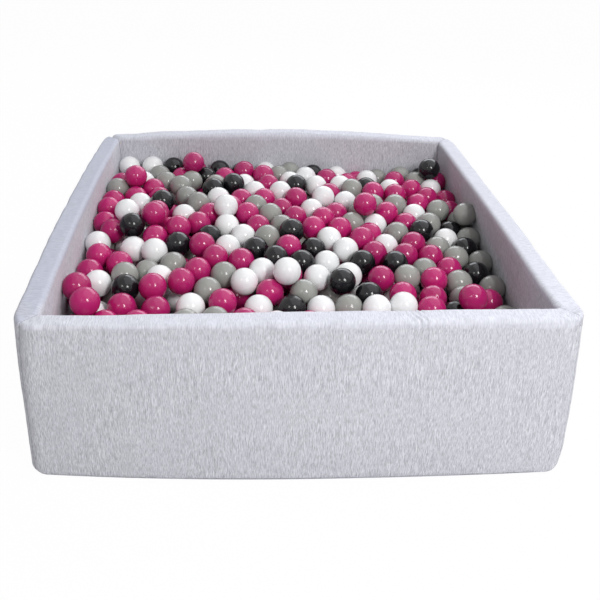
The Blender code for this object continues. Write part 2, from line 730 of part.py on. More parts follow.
def zip_slider(metal):
    """The slider and its pull tab, at the closed end of the zip.

    The slider runs along the bow of the back, so its parent empty stands at the bow's centre.
    """
    travel_half = ZIP_LENGTH / 2 - SLIDER_LENGTH
    bow_centre = bpy.data.objects.new("zip_bow_centre", None)
    bow_centre.location = (0, HALF + BACK_BOW - BOW_RADIUS, 0)
    bow_centre.rotation_euler = (0, 0, -asin(travel_half / BOW_RADIUS))
    bpy.context.scene.collection.objects.link(bow_centre)
    body, wing = slider_body(metal)
    slider = place("zip_slider", body, (0, BOW_RADIUS, ZIP_HEIGHT), parent=bow_centre)

    half = BRIDGE_LENGTH / 2
    hole = half - BRIDGE_THICKNESS
    sunk = SLIDER_FRONT_WING / 2
    arch = [
        (-half, wing - sunk),
        (-hole, wing - sunk),
        (-hole, wing + BRIDGE_HOLE_HEIGHT),
        (hole, wing + BRIDGE_HOLE_HEIGHT),
        (hole, wing - sunk),
        (half, wing - sunk),
        (half, wing + BRIDGE_HOLE_HEIGHT + BRIDGE_THICKNESS),
        (-half, wing + BRIDGE_HOLE_HEIGHT + BRIDGE_THICKNESS),
    ]
    bridge = place(
        "cutter_bridge", extrude_outline("cutter_bridge", arch, BRIDGE_WIDTH, metal), parent=slider
    )
    bridge.hide_render = True
    bridge.display_type = "WIRE"
    joined = slider.modifiers.new("bridge", "BOOLEAN")
    joined.operation = "UNION"
    joined.object = bridge

    pivot = wing + BRIDGE_HOLE_HEIGHT / 2
    place("zip_pull", pull_tab(metal), (0, pivot, 0), parent=slider)


def pull_tab(metal):
    """A flat tab with a rectangular eye, whose end bar lies under the slider's bridge on the pivot."""
    bar = PULL_THICKNESS / 2
    half = PULL_WIDTH / 2
    eye = PULL_EYE_WIDTH / 2
    tip_centre = PULL_LENGTH - half
    tip = arc((tip_centre, 0), half, pi / 2, -pi / 2, TIP_STEPS)
    shoulder = bar + PULL_EYE_LENGTH
    outer = [(-bar, half), (shoulder, half)] + tip + [(shoulder, -half), (-bar, -half)]
    inner = [(bar, eye), (shoulder, eye), (shoulder, -eye), (bar, -eye)]
    points = [(x, side * bar, z) for side in (-1, 1) for x, z in outer + inner]
    ring = len(outer)
    total = ring + len(inner)
    faces = []
    for base in (0, total):
        a, b, c, d = (base + ring + k for k in range(4))
        faces.append((base, base + 1, b, a))
        faces.append((base + 1, *range(base + 2, base + ring - 2), base + ring - 2, c, b))
        faces.append((base + ring - 2, base + ring - 1, d, c))
        faces.append((base + ring - 1, base, a, d))
    faces += [(k, (k + 1) % ring, total + (k + 1) % ring, total + k) for k in range(ring)]
    faces += [
        (ring + k, ring + (k + 1) % 4, total + ring + (k + 1) % 4, total + ring + k) for k in range(4)
    ]
    return mesh_from("zip_pull", points, faces, metal)


def main():
    """Build the whole pit."""
    clear_scene()
    foam = material("foam", (0.86, 0.84, 0.76), 0.95)
    jersey = material("grey_jersey", (0.58, 0.58, 0.61), 0.95)
    tape = material("zip_tape", (0.55, 0.55, 0.58), 0.9)
    teeth = material("zip_teeth", (0.50, 0.50, 0.53), 0.4)
    metal = material("zip_metal", (0.62, 0.62, 0.63), 0.3, 1.0)
    balls = {
        "black": material("ball_black", (0.02, 0.02, 0.022), 0.25),
        "white": material("ball_white", (0.85, 0.85, 0.85), 0.25),
        "grey": material("ball_grey", (0.34, 0.35, 0.34), 0.25),
        "magenta": material("ball_magenta", (0.52, 0.02, 0.16), 0.25),
    }
    foam_walls(foam)
    cover_walls(jersey)
    cover_base(jersey)
    floor_pieces(foam, jersey)
    packed, loose = heap()
    bed = ball_bed(packed, loose, balls["grey"])
    loose_balls(loose, bed, balls)
    zip_fixed(tape, teeth, metal)
    zip_slider(metal)
    bpy.context.view_layer.update()


main()
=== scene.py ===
from math import asin, cos, pi, radians, sin, sqrt

import bmesh
import bpy
import numpy as np
from mathutils import Euler, Matrix, Vector


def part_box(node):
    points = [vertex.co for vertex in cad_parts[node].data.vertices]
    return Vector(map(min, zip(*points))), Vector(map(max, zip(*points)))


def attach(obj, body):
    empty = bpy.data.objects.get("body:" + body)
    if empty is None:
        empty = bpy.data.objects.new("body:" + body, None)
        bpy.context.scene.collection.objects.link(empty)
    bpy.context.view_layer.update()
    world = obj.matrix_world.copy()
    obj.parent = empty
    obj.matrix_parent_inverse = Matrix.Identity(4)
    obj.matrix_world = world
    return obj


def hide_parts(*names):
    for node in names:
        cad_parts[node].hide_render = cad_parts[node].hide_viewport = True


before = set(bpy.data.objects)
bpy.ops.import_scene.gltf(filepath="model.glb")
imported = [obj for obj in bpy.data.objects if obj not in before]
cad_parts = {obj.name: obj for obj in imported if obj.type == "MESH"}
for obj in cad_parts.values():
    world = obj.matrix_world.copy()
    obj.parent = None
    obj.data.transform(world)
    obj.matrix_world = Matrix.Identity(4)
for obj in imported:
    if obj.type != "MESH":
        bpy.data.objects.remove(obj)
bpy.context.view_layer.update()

# The part's sizes in metres, as in the CAD model
GAP = 0.0003
PIT_SIDE = 1.200
WALL_FOAM_HEIGHT = 0.400
WALL_FOAM_THICKNESS = 0.050
FLOOR_FOAM_THICKNESS = 0.040
COVER_THICKNESS = 0.0015
CORNER_RADIUS = 0.042
RIM_RADIUS = 0.019
BOTTOM_RADIUS = 0.030
BOWS = {"front": 0.010, "right": 0.018, "back": 0.018, "left": 0.018}
BASE_SEAM_HEIGHT = 0.012
BALL_DIAMETER = 0.070
FREEBOARD = 0.014
ZIP_LENGTH = 0.840
ZIP_HEIGHT = 0.056
ZIP_SLIT_HEIGHT = 0.014
ZIP_TAPE_WIDTH = 0.015
ZIP_TAPE_THICKNESS = 0.0007
ZIP_TAPE_END = 0.014
ZIP_TEETH_WIDTH = 0.0025
ZIP_TEETH_THICKNESS = 0.0018
ZIP_TEETH_PARTING = 0.0010
ZIP_STOP_LENGTH = 0.005

HALF = PIT_SIDE / 2
CORE = HALF - CORNER_RADIUS
SKIN = COVER_THICKNESS + GAP
PIT_HEIGHT = SKIN + WALL_FOAM_HEIGHT + SKIN
WALL = SKIN + WALL_FOAM_THICKNESS + SKIN
INSIDE_HALF = HALF - WALL
FLOOR_FOAM_TOP = SKIN + FLOOR_FOAM_THICKNESS
FLOOR_TOP = FLOOR_FOAM_TOP + SKIN
BALL_RADIUS = BALL_DIAMETER / 2
BALL_TOP_LIMIT = PIT_HEIGHT - FREEBOARD - BALL_RADIUS
TEETH_INNER = HALF + GAP + (ZIP_TAPE_THICKNESS - ZIP_TEETH_THICKNESS) / 2
TEETH_FAR_EDGE = ZIP_TEETH_PARTING / 2 + ZIP_TEETH_WIDTH

# The heap of balls, as in the CAD model
FILL_FRONT_LEFT_SHARE = 0.63
FILL_FRONT_RIGHT_SHARE = 0.56
FILL_BACK_LEFT_SHARE = 0.80
FILL_BACK_RIGHT_SHARE = 0.70
FILL_MOUND_SHARE = 0.14
FILL_MOUND_POWER = 3
LAYER_PITCH_SHARE = 1.05
LAYER_DROP_SHARE = 0.90
LAYER_JITTER_SHARE = 0.30
TOP_LAYER_SHARE = 0.08
NEIGHBOUR_SHARE = 1.30
FALL_SHARE = 0.016
GRAIN_SHARE = 0.00001
PUSH_SHARE = 0.50
FALL_STEPS_SHARE = 0.83
FULL_LAYERS = 3
SETTLE_STEPS = 220
NEIGHBOUR_STEPS = 6
HEAP_SEED = 11

# The loose balls' places as in the CAD model, in shares of the half width inside the walls. A scratch
# script worked ten of them out from the photo, four lie near such places and ten are chosen.
LOOSE_BALL_SHARES = {
    "black": [
        (-0.68, 0.36), (-0.41, 0.56), (-0.41, 0.01), (-0.80, 0.03), (-0.77, -0.46), (0.07, 0.63),
        (0.01, 0.01), (0.71, 0.13), (0.51, -0.21), (0.22, -0.44),
    ],
    "white": [(-0.67, -0.15), (-0.23, -0.43), (-0.33, 0.21), (0.21, 0.45), (0.52, 0.86)],
    "grey": [(-0.60, 0.62), (0.80, -0.34), (0.86, 0.40), (-0.48, -0.72)],
    "magenta": [(0.64, 0.56), (0.37, -0.01), (-0.52, -0.43), (0.61, -0.60), (-0.12, 0.80)],
}

# Other balls that stand out. Their colours are judged. Scratch scripts worked the places out: the first
# 34 mostly from the photo, and those by the walls and on top from where this heap's own balls lie.
NOTED_BALLS = {
    "black": [
        (-0.69, 0.97), (-0.38, 0.95), (0.23, 0.95), (0.88, 0.94), (0.41, -0.53), (0.85, -0.30),
        (0.87, 0.27), (0.04, -0.23),
    ],
    "white": [
        (-0.92, 0.95), (-0.91, -0.02), (-0.46, -0.52), (-0.31, -0.12), (-0.11, -0.43), (0.12, -0.37),
        (0.30, -0.61), (0.40, 0.45), (-0.33, 0.05),
    ],
    "grey": [(-0.56, -0.20), (-0.37, -0.44), (0.94, 0.21), (0.94, -0.09), (-0.52, 0.62)],
    "magenta": [
        (0.90, -0.45), (-0.64, -0.45), (0.72, 0.45), (0.65, -0.05), (0.34, -0.43), (0.61, -0.46),
        (0.44, -0.08), (0.41, 0.07), (-0.66, 0.10), (-0.53, 0.08), (0.48, 0.94), (0.64, 0.90),
    ],
}
BALLS_BY_THE_WALLS = {
    "magenta": [
        (-0.85, 0.61), (-0.95, 0.71), (-0.96, 0.46), (-0.97, 0.33), (-0.97, 0.20), (-0.94, -0.15),
        (-0.83, -0.21), (-0.97, -0.27), (0.95, 0.49), (0.96, 0.62), (0.95, 0.84),
    ],
    "white": [(-0.84, 0.17), (-0.81, 0.39), (0.89, 0.73)],
    "grey": [(-0.96, 0.58), (0.92, -0.23)],
    "black": [(0.97, 0.12)],
}
HIGH_BALLS = {
    "black": [(0.89, 0.80)],
    "grey": [(0.97, 0.24)],
    "magenta": [(-0.96, -0.57), (-0.90, -0.69)],
}
BALL_TONES = {
    "magenta": ((190, 36, 111), (156, 22, 89), 0.15),
    "grey": ((156, 157, 152), (140, 141, 137), 0.16),
    "white": ((240, 240, 240), (230, 231, 232), 0.18),
    "black": ((24, 24, 28), (10, 10, 13), 0.14),
}
COLOUR_SHARES = {"magenta": 0.43, "grey": 0.25, "white": 0.26, "black": 0.06}

# How far above the heap's surface the noted balls are looked for, in ball radii
HIGH_LIFT = 1.5
NOTED_LIFT = 0.4
BALLS_IN_A_PIECE = 100
BALL_OVALITY = 0.012

# How far the cover bows out in the middle of each side, at the base seam and at the rim
COVER_BOWS = {
    "front": (0.024, 0.000),
    "right": (0.018, -0.004),
    "back": (0.018, 0.022),
    "left": (0.018, 0.004),
}
FOOT_BOWS = {side: low for side, (low, _) in COVER_BOWS.items()}

# How far the rim rises in the middle of each side, and how much rounder its corners are
RIM_CROWNS = {"front": 0.004, "right": 0.014, "back": 0.014, "left": 0.014}
RIM_CORNER_GAIN = 0.022

# Radii of the rim's two folds and of the sharpest corner inside
OUTER_FOLD = 0.009
INNER_FOLD = 0.013
INNER_CORNER = 0.006

# The right wall's lean inwards at the rim, from a place along it
RIGHT_LEAN = 0.014
LEAN_START = -0.62
LEAN_RUN = 0.18

# How the front right corner's rim is lifted, and how its foot is pulled forwards and tucked in
FRONT_RIGHT_LIFT = 0.013
LIFT_START = 0.20
LIFT_RUN = 0.75
FRONT_RIGHT_REACH = 0.014
FRONT_RIGHT_TUCK = 0.012
TUCK_HEIGHT = 0.08

# How far the tight jersey's forms stand out
SWELL = 0.0007
RIPPLE = 0.0002
FOLD_WAVE = 0.0003
FRONT_WAVE = 0.0014
FRONT_RIPPLE = 0.0008
MITRE_ROLL = 0.0008
FOOT_SPREAD = 0.004
CREASE = 0.0015
CREASE_SPACING = 0.0075
BACK_LEFT_DIP = 0.0045
GATHER = 0.0004
RIM_GATHER = 0.0006
PUCKER = 0.0014
PUCKER_PLACE = 0.235
PUCKER_WIDTH = 0.026
PUCKER_SPACING = 0.013
INNER_RELIEF_LIMIT = 0.0004

# How far the thread draws the panels' edges in
MITRE_PULL = 0.0005
RIM_MITRE_PULL = 0.0019
FOOT_PULL = 0.0004
FOOT_RIGHT_PULL = 0.0006

# Spacing of the panels' points, closer where the front's rim puckers
PROFILE_PITCH = 0.0075
STATION_PITCH = 0.0082
PUCKER_STATION_PITCH = 0.002
PUCKER_STATIONS = (0.32, 0.40)

# How far the foam boards keep from the cover's plain shape and from each other's ends
FOAM_CLEARANCE = 0.004

# The camera, fitted to the photo: pixels of the frame, its turns in degrees and its place
IMAGE_SIDE = 600
FOCAL_LENGTH = 764.26
IMAGE_CENTRE = (285, 225)
CAMERA_TURNS = (64.4967, -1.4389, -2.5601)
CAMERA_PLACE = (-0.12252, -1.91025, 1.25774)

# The lamps: name, place, size, watts and colour
LAMPS = [
    ("left_box", (-1.10, -1.95, 2.1), (0.45, 0.45), 7, (1.0, 1.0, 1.0)),
    ("right_strip", (0.95, -2.15, 2.15), (0.5, 0.9), 43, (1.0, 1.0, 1.0)),
    ("back_right", (0.9, 2.7, 1.9), (3.2, 1.5), 48, (0.90, 0.94, 1.0)),
    ("top", (1.3, 0.4, 3.2), (4.2, 4.2), 56, (0.95, 0.97, 1.0)),
]
LAMP_TARGET = (0.0, 0.0, 0.3)
WORLD_STRENGTH = 0.23
STAGE_HALF = 9
STAGE_HEIGHT = -0.0004

TURNS = {"front": 0.0, "right": pi / 2, "back": pi, "left": -pi / 2}


def bow_at(side, along):
    """How far a wall's inner face bows outwards at a place along it."""
    share = np.clip(along / INSIDE_HALF, -1, 1)
    return BOWS[side] * (1 - share * share)


def fill_level(x, y):
    """Height of the uppermost ball centres, highest away from the walls."""
    u = np.clip(x / INSIDE_HALF, -1, 1)
    v = np.clip(y / INSIDE_HALF, -1, 1)
    front = FILL_FRONT_LEFT_SHARE * (1 - u) / 2 + FILL_FRONT_RIGHT_SHARE * (1 + u) / 2
    back = FILL_BACK_LEFT_SHARE * (1 - u) / 2 + FILL_BACK_RIGHT_SHARE * (1 + u) / 2
    edge = front * (1 - v) / 2 + back * (1 + v) / 2
    mound = (1 - abs(u) ** FILL_MOUND_POWER) * (1 - abs(v) ** FILL_MOUND_POWER)
    return PIT_HEIGHT * (edge + FILL_MOUND_SHARE * mound)


def ball_layer(depth):
    """Places of one hexagonal layer, a number of layers below the top."""
    reach = INSIDE_HALF - BALL_RADIUS
    pitch = BALL_DIAMETER * LAYER_PITCH_SHARE
    columns = int(2 * reach / pitch) + 1
    rows = int(2 * reach / (pitch * sin(pi / 3))) + 1
    across = np.linspace(-reach, reach, columns)
    places = []
    for row in range(rows):
        shift = pitch / 4 * (1 if (row + depth) % 2 else -1)
        y = -reach + 2 * reach * row / (rows - 1)
        places += [(x + shift, y) for x in across]
    flat = np.array(places)
    height = fill_level(flat[:, 0], flat[:, 1]) - depth * LAYER_DROP_SHARE * BALL_DIAMETER
    return np.column_stack([flat, height])


def start_heap():
    """Where the balls lie before they settle: the held base, the free layers and the loose balls."""
    random = np.random.default_rng(HEAP_SEED)
    base = ball_layer(FULL_LAYERS)
    free = np.vstack([ball_layer(depth) for depth in range(FULL_LAYERS - 1, -1, -1)])
    free = free + (random.random(free.shape) - 0.5) * LAYER_JITTER_SHARE * BALL_DIAMETER
    crown = ball_layer(-1)
    free = np.vstack([free, crown[random.random(len(crown)) < TOP_LAYER_SHARE]])
    reach = INSIDE_HALF - BALL_RADIUS
    loose = INSIDE_HALF * np.array([place for places in LOOSE_BALL_SHARES.values() for place in places])
    loose = np.clip(loose, -reach, reach)
    loose = np.column_stack([loose, fill_level(loose[:, 0], loose[:, 1])])
    span = free[:, None, :] - loose[None, :, :]
    close = (np.hypot(span[:, :, 0], span[:, :, 1]) < BALL_RADIUS) & (span[:, :, 2] > -BALL_RADIUS)
    return base, free[~close.any(axis=1)], loose


def on_grain(centres):
    """Places rounded to the heap's grain, so that it settles alike each time."""
    grain = GRAIN_SHARE * BALL_DIAMETER
    return np.round(centres / grain) * grain


def clear_columns(packed, loose, share):
    """Move packed balls sideways out of the columns above the loose ones, by a share of the overlap."""
    span = packed[:, None, :] - loose[None, :, :]
    aside = np.maximum(np.hypot(span[:, :, 0], span[:, :, 1]), GAP)
    overlap = np.maximum(BALL_DIAMETER + GAP - aside, 0) * (span[:, :, 2] > 0) * share / aside
    moved = packed.copy()
    moved[:, 0] += (overlap * span[:, :, 0]).sum(axis=1)
    moved[:, 1] += (overlap * span[:, :, 1]).sum(axis=1)
    return moved


def settle(base, free, loose):
    """Let the free balls sink and push each other apart, while the loose ones only rise and fall."""
    reach = INSIDE_HALF - BALL_RADIUS
    centres = np.vstack([base, free, loose])
    count = len(centres)
    packed_count = count - len(loose)
    held = np.ones((count, 3))
    held[: len(base)] = 0
    held[packed_count:, :2] = 0
    for step in range(SETTLE_STEPS):
        if step % NEIGHBOUR_STEPS == 0:
            spans = centres[:, None, :] - centres[None, :, :]
            near = (spans * spans).sum(axis=2) < (NEIGHBOUR_SHARE * BALL_DIAMETER) ** 2
            first, second = np.nonzero(np.triu(near, 1))
        slowed = max(1 - step / (FALL_STEPS_SHARE * SETTLE_STEPS), 0)
        centres[:, 2] -= FALL_SHARE * BALL_DIAMETER * slowed * held[:, 2]
        span = centres[second] - centres[first]
        length = np.maximum(np.sqrt(span[:, 0] ** 2 + span[:, 1] ** 2 + span[:, 2] ** 2), GAP)
        push = PUSH_SHARE * np.maximum(BALL_DIAMETER - length, 0) / length
        for axis in range(3):
            pushed = push * span[:, axis]
            moved = np.bincount(second, pushed, count) - np.bincount(first, pushed, count)
            centres[:, axis] += moved * held[:, axis]
        cleared = clear_columns(centres[:packed_count], centres[packed_count:], PUSH_SHARE)
        centres[len(base) : packed_count] = cleared[len(base) :]
        for axis, low_side, high_side in ((0, "left", "right"), (1, "front", "back")):
            low = -reach - bow_at(low_side, centres[:, 1 - axis])
            high = reach + bow_at(high_side, centres[:, 1 - axis])
            inside = np.clip(centres[:, axis], low, high)
            centres[:, axis] = np.where(held[:, axis] > 0, inside, centres[:, axis])
        centres[:, 2] = np.minimum(centres[:, 2], BALL_TOP_LIMIT)
        centres = on_grain(centres)
    return centres[:packed_count], centres[packed_count:]


def heap():
    """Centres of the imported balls, with nothing above or inside a loose one, and how many are base."""
    base, free, loose = start_heap()
    packed, loose = settle(base, free, loose)
    packed = clear_columns(packed, loose, 1)
    apart = BALL_DIAMETER + GAP
    for centre in loose:
        span = packed - centre
        length = np.maximum(np.sqrt((span * span).sum(axis=1)), GAP)
        packed = np.where((length < apart)[:, None], centre + span * (apart / length)[:, None], packed)
    return on_grain(packed), len(base)


def waves(points, seed, size, count=20):
    """Smooth noise of about unit height at the points, whose swells are about a size long."""
    random = np.random.default_rng(seed)
    points = np.asarray(points, float)
    steps = random.normal(size=(count, points.shape[-1])) * pi / size
    phases = random.random(count) * 2 * pi
    return np.sin(points @ steps.T + phases).sum(axis=-1) / sqrt(count / 2)


def bump(values, middle, width):
    """A bell curve of height one."""
    return np.exp(-(((values - middle) / width) ** 2))


class Nodes:
    """A tree of nodes that is put together node by node."""

    def __init__(self, tree):
        self.tree = tree

    def fill(self, socket, value):
        """Link or set one socket."""
        if isinstance(value, bpy.types.NodeSocket):
            self.tree.links.new(value, socket)
        else:
            socket.default_value = value

    def node(self, kind, inputs, **settings):
        """Add a node and return its outputs."""
        made = self.tree.nodes.new("ShaderNode" + kind)
        for name, value in settings.items():
            setattr(made, name, value)
        for name, value in inputs.items():
            self.fill(made.inputs[name], value)
        return made.outputs

    def maths(self, operation, first, second=0.0, third=0.0):
        """A sum, product or other operation on numbers."""
        return self.node("Math", {0: first, 1: second, 2: third}, operation=operation)[0]

    def spread(self, value, low, high, to_low, to_high):
        """A value's range set to another."""
        inputs = {"Value": value, "From Min": low, "From Max": high, "To Min": to_low, "To Max": to_high}
        return self.node("MapRange", inputs)[0]


class Look(Nodes):
    """A Principled material."""

    def __init__(self, name, **sockets):
        self.material = bpy.data.materials.new(name)
        self.material.use_nodes = True
        super().__init__(self.material.node_tree)
        self.shader = self.tree.nodes["Principled BSDF"]
        self.set(**sockets)

    def set(self, **sockets):
        """Fill the shader's sockets, whose names are written with low lines for spaces."""
        for name, value in sockets.items():
            self.fill(self.shader.inputs[name.replace("_", " ").title().replace("Ior", "IOR")], value)

    def place(self, scale):
        """Object coordinates, scaled."""
        where = self.node("TexCoord", {})["Object"]
        return self.node("Mapping", {"Vector": where, "Scale": scale})[0]

    def noise(self, scale, detail=2.0, roughness=0.5):
        """Noise between 0 and 1 with so many swells in a metre along each axis."""
        inputs = {"Vector": self.place(scale), "Scale": 1.0, "Detail": detail}
        return self.node("TexNoise", inputs | {"Roughness": roughness})["Fac"]

    def mix(self, share, first, second):
        """A colour between two others."""
        made = self.node("Mix", {"Factor": share}, data_type="RGBA")
        sockets = self.tree.nodes[-1].inputs
        self.fill(sockets[6], first)
        self.fill(sockets[7], second)
        return made[2]

    def bumps(self, *layers):
        """Normals from layers of (height, distance in metres)."""
        normal = None
        for height, distance in layers:
            inputs = {"Height": height, "Distance": distance, "Strength": 1.0}
            if normal is not None:
                inputs["Normal"] = normal
            normal = self.node("Bump", inputs)[0]
        self.set(normal=normal)


def rgb(red, green, blue):
    """A colour from its display values, 0 to 255."""
    values = [value / 255 for value in (red, green, blue)]
    linear = [v / 12.92 if v <= 0.04045 else ((v + 0.055) / 1.055) ** 2.4 for v in values]
    return (*linear, 1.0)


def jersey_look(name, fast, painted_rim_tone=(226, 228, 240), painted_rim_share=0.4):
    """Stretch jersey in heather grey, whose slender streaks cross the panel's own axis. A band along the
    rim's top is mixed towards another tone: painted light by default, painted shade where a darker tone is
    given.
    """

    def swells(many, few):
        """Many swells in a metre along the fast axis and few along the others."""
        return tuple(many if axis == fast else few for axis in range(3))

    look = Look(name, roughness=0.86, sheen_weight=0.18, sheen_roughness=0.45, specular_ior_level=0.22)
    streaks = look.noise(swells(2400, 170), 2.0, 0.5)
    bands = look.noise(swells(1400, 78), 1.0, 0.5)
    lines = look.noise(swells(2300, 24), 1.0, 0.5)
    cloud = look.noise((7, 7, 7), 3.0)
    loops = look.noise(swells(1250, 900), 1.0)
    tone = look.maths("MULTIPLY_ADD", streaks, 0.25, look.maths("MULTIPLY", bands, 0.50))
    tone = look.maths("MULTIPLY_ADD", lines, 0.25, tone)
    share = look.spread(tone, 0.38, 0.62, 0.0, 1.0)
    colour = look.mix(share, rgb(156, 156, 164), rgb(240, 240, 246))
    colour = look.mix(look.spread(cloud, 0.3, 0.7, 0.0, 0.12), colour, rgb(196, 197, 208))
    where = look.node("TexCoord", {})["Object"]
    height = look.node("SeparateXYZ", {"Vector": where})["Z"]
    uneven = look.spread(look.noise((14, 14, 14), 2.0), 0.3, 0.7, -0.005, 0.005)
    height = look.maths("ADD", height, uneven)
    # Painted light: the rim's top is mixed towards a lighter tone that stands for the light from above; a
    # darker tone given here is painted shade.
    painted_rim_shading = look.spread(height, PIT_HEIGHT - OUTER_FOLD, PIT_HEIGHT, 0.0, painted_rim_share)
    look.set(base_color=look.mix(painted_rim_shading, colour, rgb(*painted_rim_tone)))
    look.bumps((streaks, 0.00012), (loops, 0.00018))
    return look.material


def seam_painted_shade_look(name):
    """Overlocked thread, whose tone, darker than the jersey, is painted shade of the seams' grooves."""
    look = Look(name, roughness=0.9, specular_ior_level=0.1)
    threads = look.noise((700, 700, 700), 2.0)
    look.set(base_color=look.mix(threads, rgb(150, 150, 160), rgb(186, 186, 196)))
    look.bumps((threads, 0.0003))
    return look.material


def ball_look(name, colour, deep, roughness):
    """Glossy moulded plastic, a little different from ball to ball."""
    look = Look(name, roughness=roughness, specular_ior_level=0.36)
    island = look.node("NewGeometry", {})["Random Per Island"]
    grain = look.noise((260, 260, 260), 3.0)
    share = look.maths("MULTIPLY_ADD", grain, 0.25, look.maths("MULTIPLY", island, 0.6))
    look.set(base_color=look.mix(share, colour, deep))
    look.bumps((look.noise((40, 40, 40), 1.0), 0.0002), (look.noise((900, 900, 900), 2.0), 0.00004))
    return look.material


def foam_look(name):
    """Open-celled foam in pale cream."""
    look = Look(name, roughness=0.95, specular_ior_level=0.1)
    cells = look.node("TexVoronoi", {"Vector": look.place((620, 620, 620)), "Scale": 1.0})["Distance"]
    cloud = look.noise((9, 9, 9), 3.0)
    share = look.maths("MULTIPLY_ADD", cloud, 0.3, look.maths("MULTIPLY", cells, 0.5))
    look.set(base_color=look.mix(share, rgb(222, 214, 192), rgb(240, 235, 218)))
    look.bumps((cells, 0.0012))
    return look.material


def tape_look(name, light, dark):
    """Woven polyester tape or thread."""
    look = Look(name, roughness=0.72, sheen_weight=0.12, specular_ior_level=0.3)
    weave = look.place((900, 900, 2600))
    ribs = look.node("TexWave", {"Vector": weave, "Scale": 1.0}, bands_direction="X")[1]
    threads = look.noise((1800, 1800, 5200), 2.0)
    share = look.maths("MULTIPLY_ADD", ribs, 0.5, look.maths("MULTIPLY", threads, 0.5))
    look.set(base_color=look.mix(share, dark, light))
    look.bumps((share, 0.0002))
    return look.material


def metal_look(name):
    """Satin plated zinc, brushed."""
    look = Look(name, metallic=1.0)
    brushed = look.noise((400, 400, 6000), 3.0)
    cloud = look.noise((300, 300, 300), 3.0)
    look.set(roughness=look.spread(brushed, 0.3, 0.7, 0.26, 0.40))
    look.set(base_color=look.mix(cloud, rgb(176, 177, 180), rgb(206, 206, 206)))
    look.bumps((brushed, 0.00003))
    return look.material


def nylon_look(name):
    """Satin nylon of the zip's coils."""
    look = Look(name, roughness=0.42, specular_ior_level=0.5)
    grain = look.noise((2200, 2200, 2200), 2.0)
    look.set(base_color=look.mix(grain, rgb(176, 176, 184), rgb(204, 204, 212)))
    look.bumps((grain, 0.00005))
    return look.material


def mesh_object(name, points, faces, look):
    """A smooth object from point and face arrays, in the row frame."""
    mesh = bpy.data.meshes.new(name)
    mesh.from_pydata(np.reshape(points, (-1, 3)), [], faces, shade_flat=False)
    mesh.validate()
    mesh.materials.append(look)
    obj = bpy.data.objects.new(name, mesh)
    bpy.context.scene.collection.objects.link(obj)
    return obj


def arc(centre, radius, start, end, steps):
    """Points of a profile on an arc."""
    angles = np.linspace(start, end, steps + 1)
    return [(centre[0] + radius * cos(a), centre[1] + radius * sin(a)) for a in angles]


def stretch(low, high, pitch):
    """Values between two others, about a pitch apart, without the two."""
    count = max(int(abs(high - low) / pitch), 1)
    return list(np.linspace(low, high, count + 1)[1:-1])


def seam_angle(past=0.0):
    """Angle on the bottom rounding of the seam between the base panel and the walls' panels."""
    return -asin(1 - BASE_SEAM_HEIGHT / BOTTOM_RADIUS) + past / BOTTOM_RADIUS


def wall_profile(inset, start_angle, foot, pitch, fold=RIM_RADIUS, inner_fold=RIM_RADIUS):
    """(reach, height) points from the base seam up, over the rim's two folds and down to the floor."""
    slit = (ZIP_HEIGHT - ZIP_SLIT_HEIGHT / 2, ZIP_HEIGHT + ZIP_SLIT_HEIGHT / 2)
    low, high, inner_high = BOTTOM_RADIUS, PIT_HEIGHT - fold, PIT_HEIGHT - inner_fold
    line = arc((HALF - BOTTOM_RADIUS, BOTTOM_RADIUS), BOTTOM_RADIUS - inset, start_angle, 0.0, 9)
    heights = stretch(low, slit[0], pitch) + [slit[0]] + stretch(slit[0], slit[1], pitch) + [slit[1]]
    line += [(HALF - inset, h) for h in heights + stretch(slit[1], high, pitch)]
    line += arc((HALF - fold, high), fold - inset, 0.0, pi / 2, 8)
    line += [(r, PIT_HEIGHT - inset) for r in stretch(HALF - fold, INSIDE_HALF + inner_fold, 0.004)]
    line += arc((INSIDE_HALF + inner_fold, inner_high), inner_fold - inset, pi / 2, pi, 8)
    line += [(INSIDE_HALF + inset, h) for h in stretch(inner_high, foot, 1.2 * pitch) + [foot]]
    return np.array(line)


def rise_share(height, foot):
    """0 up to a height, then up to 1 at the rim."""
    return np.clip((height - foot) / (PIT_HEIGHT - foot), 0, 1)


def cover_bow(side, reach, height):
    """How far a cover's panel bows out in the middle, at its profile points."""
    low, high = COVER_BOWS[side]
    outer = low + (high - low) * rise_share(height, 2 * ZIP_HEIGHT)
    inner = BOWS[side] + (high - BOWS[side]) * rise_share(height, 0.75 * PIT_HEIGHT)
    across = np.clip((reach - INSIDE_HALF) / WALL, 0, 1)
    return inner + (outer - inner) * across


def side_grid(side, profile, shares):
    """Points (station, profile point, xyz) of a side's panel, and each point's distance to the mitre."""
    reach, height = profile[:, 0], profile[:, 1]
    gain = RIM_CORNER_GAIN * rise_share(height, PIT_HEIGHT / 2) ** 2
    radius = np.maximum(reach - CORE + gain, INNER_CORNER)
    straight = reach - radius
    length = straight + radius * pi / 4
    along = np.abs(shares)[:, None] * length[None, :]
    angle = np.clip((along - straight) / radius, 0, pi / 4)
    part = np.minimum(along / straight, 1)
    x = np.where(along < straight, along, straight + radius * np.sin(angle))
    bow = cover_bow(side, reach, height) * (1 - part * part)
    y = np.where(along < straight, reach + bow, straight + radius * np.cos(angle))
    x = x * np.sign(shares)[:, None]
    z = height + RIM_CROWNS[side] * rise_share(height, 2 * ZIP_HEIGHT) ** 2 * (1 - part * part)
    return np.stack([x, -y, z], axis=-1), length[None, :] - along


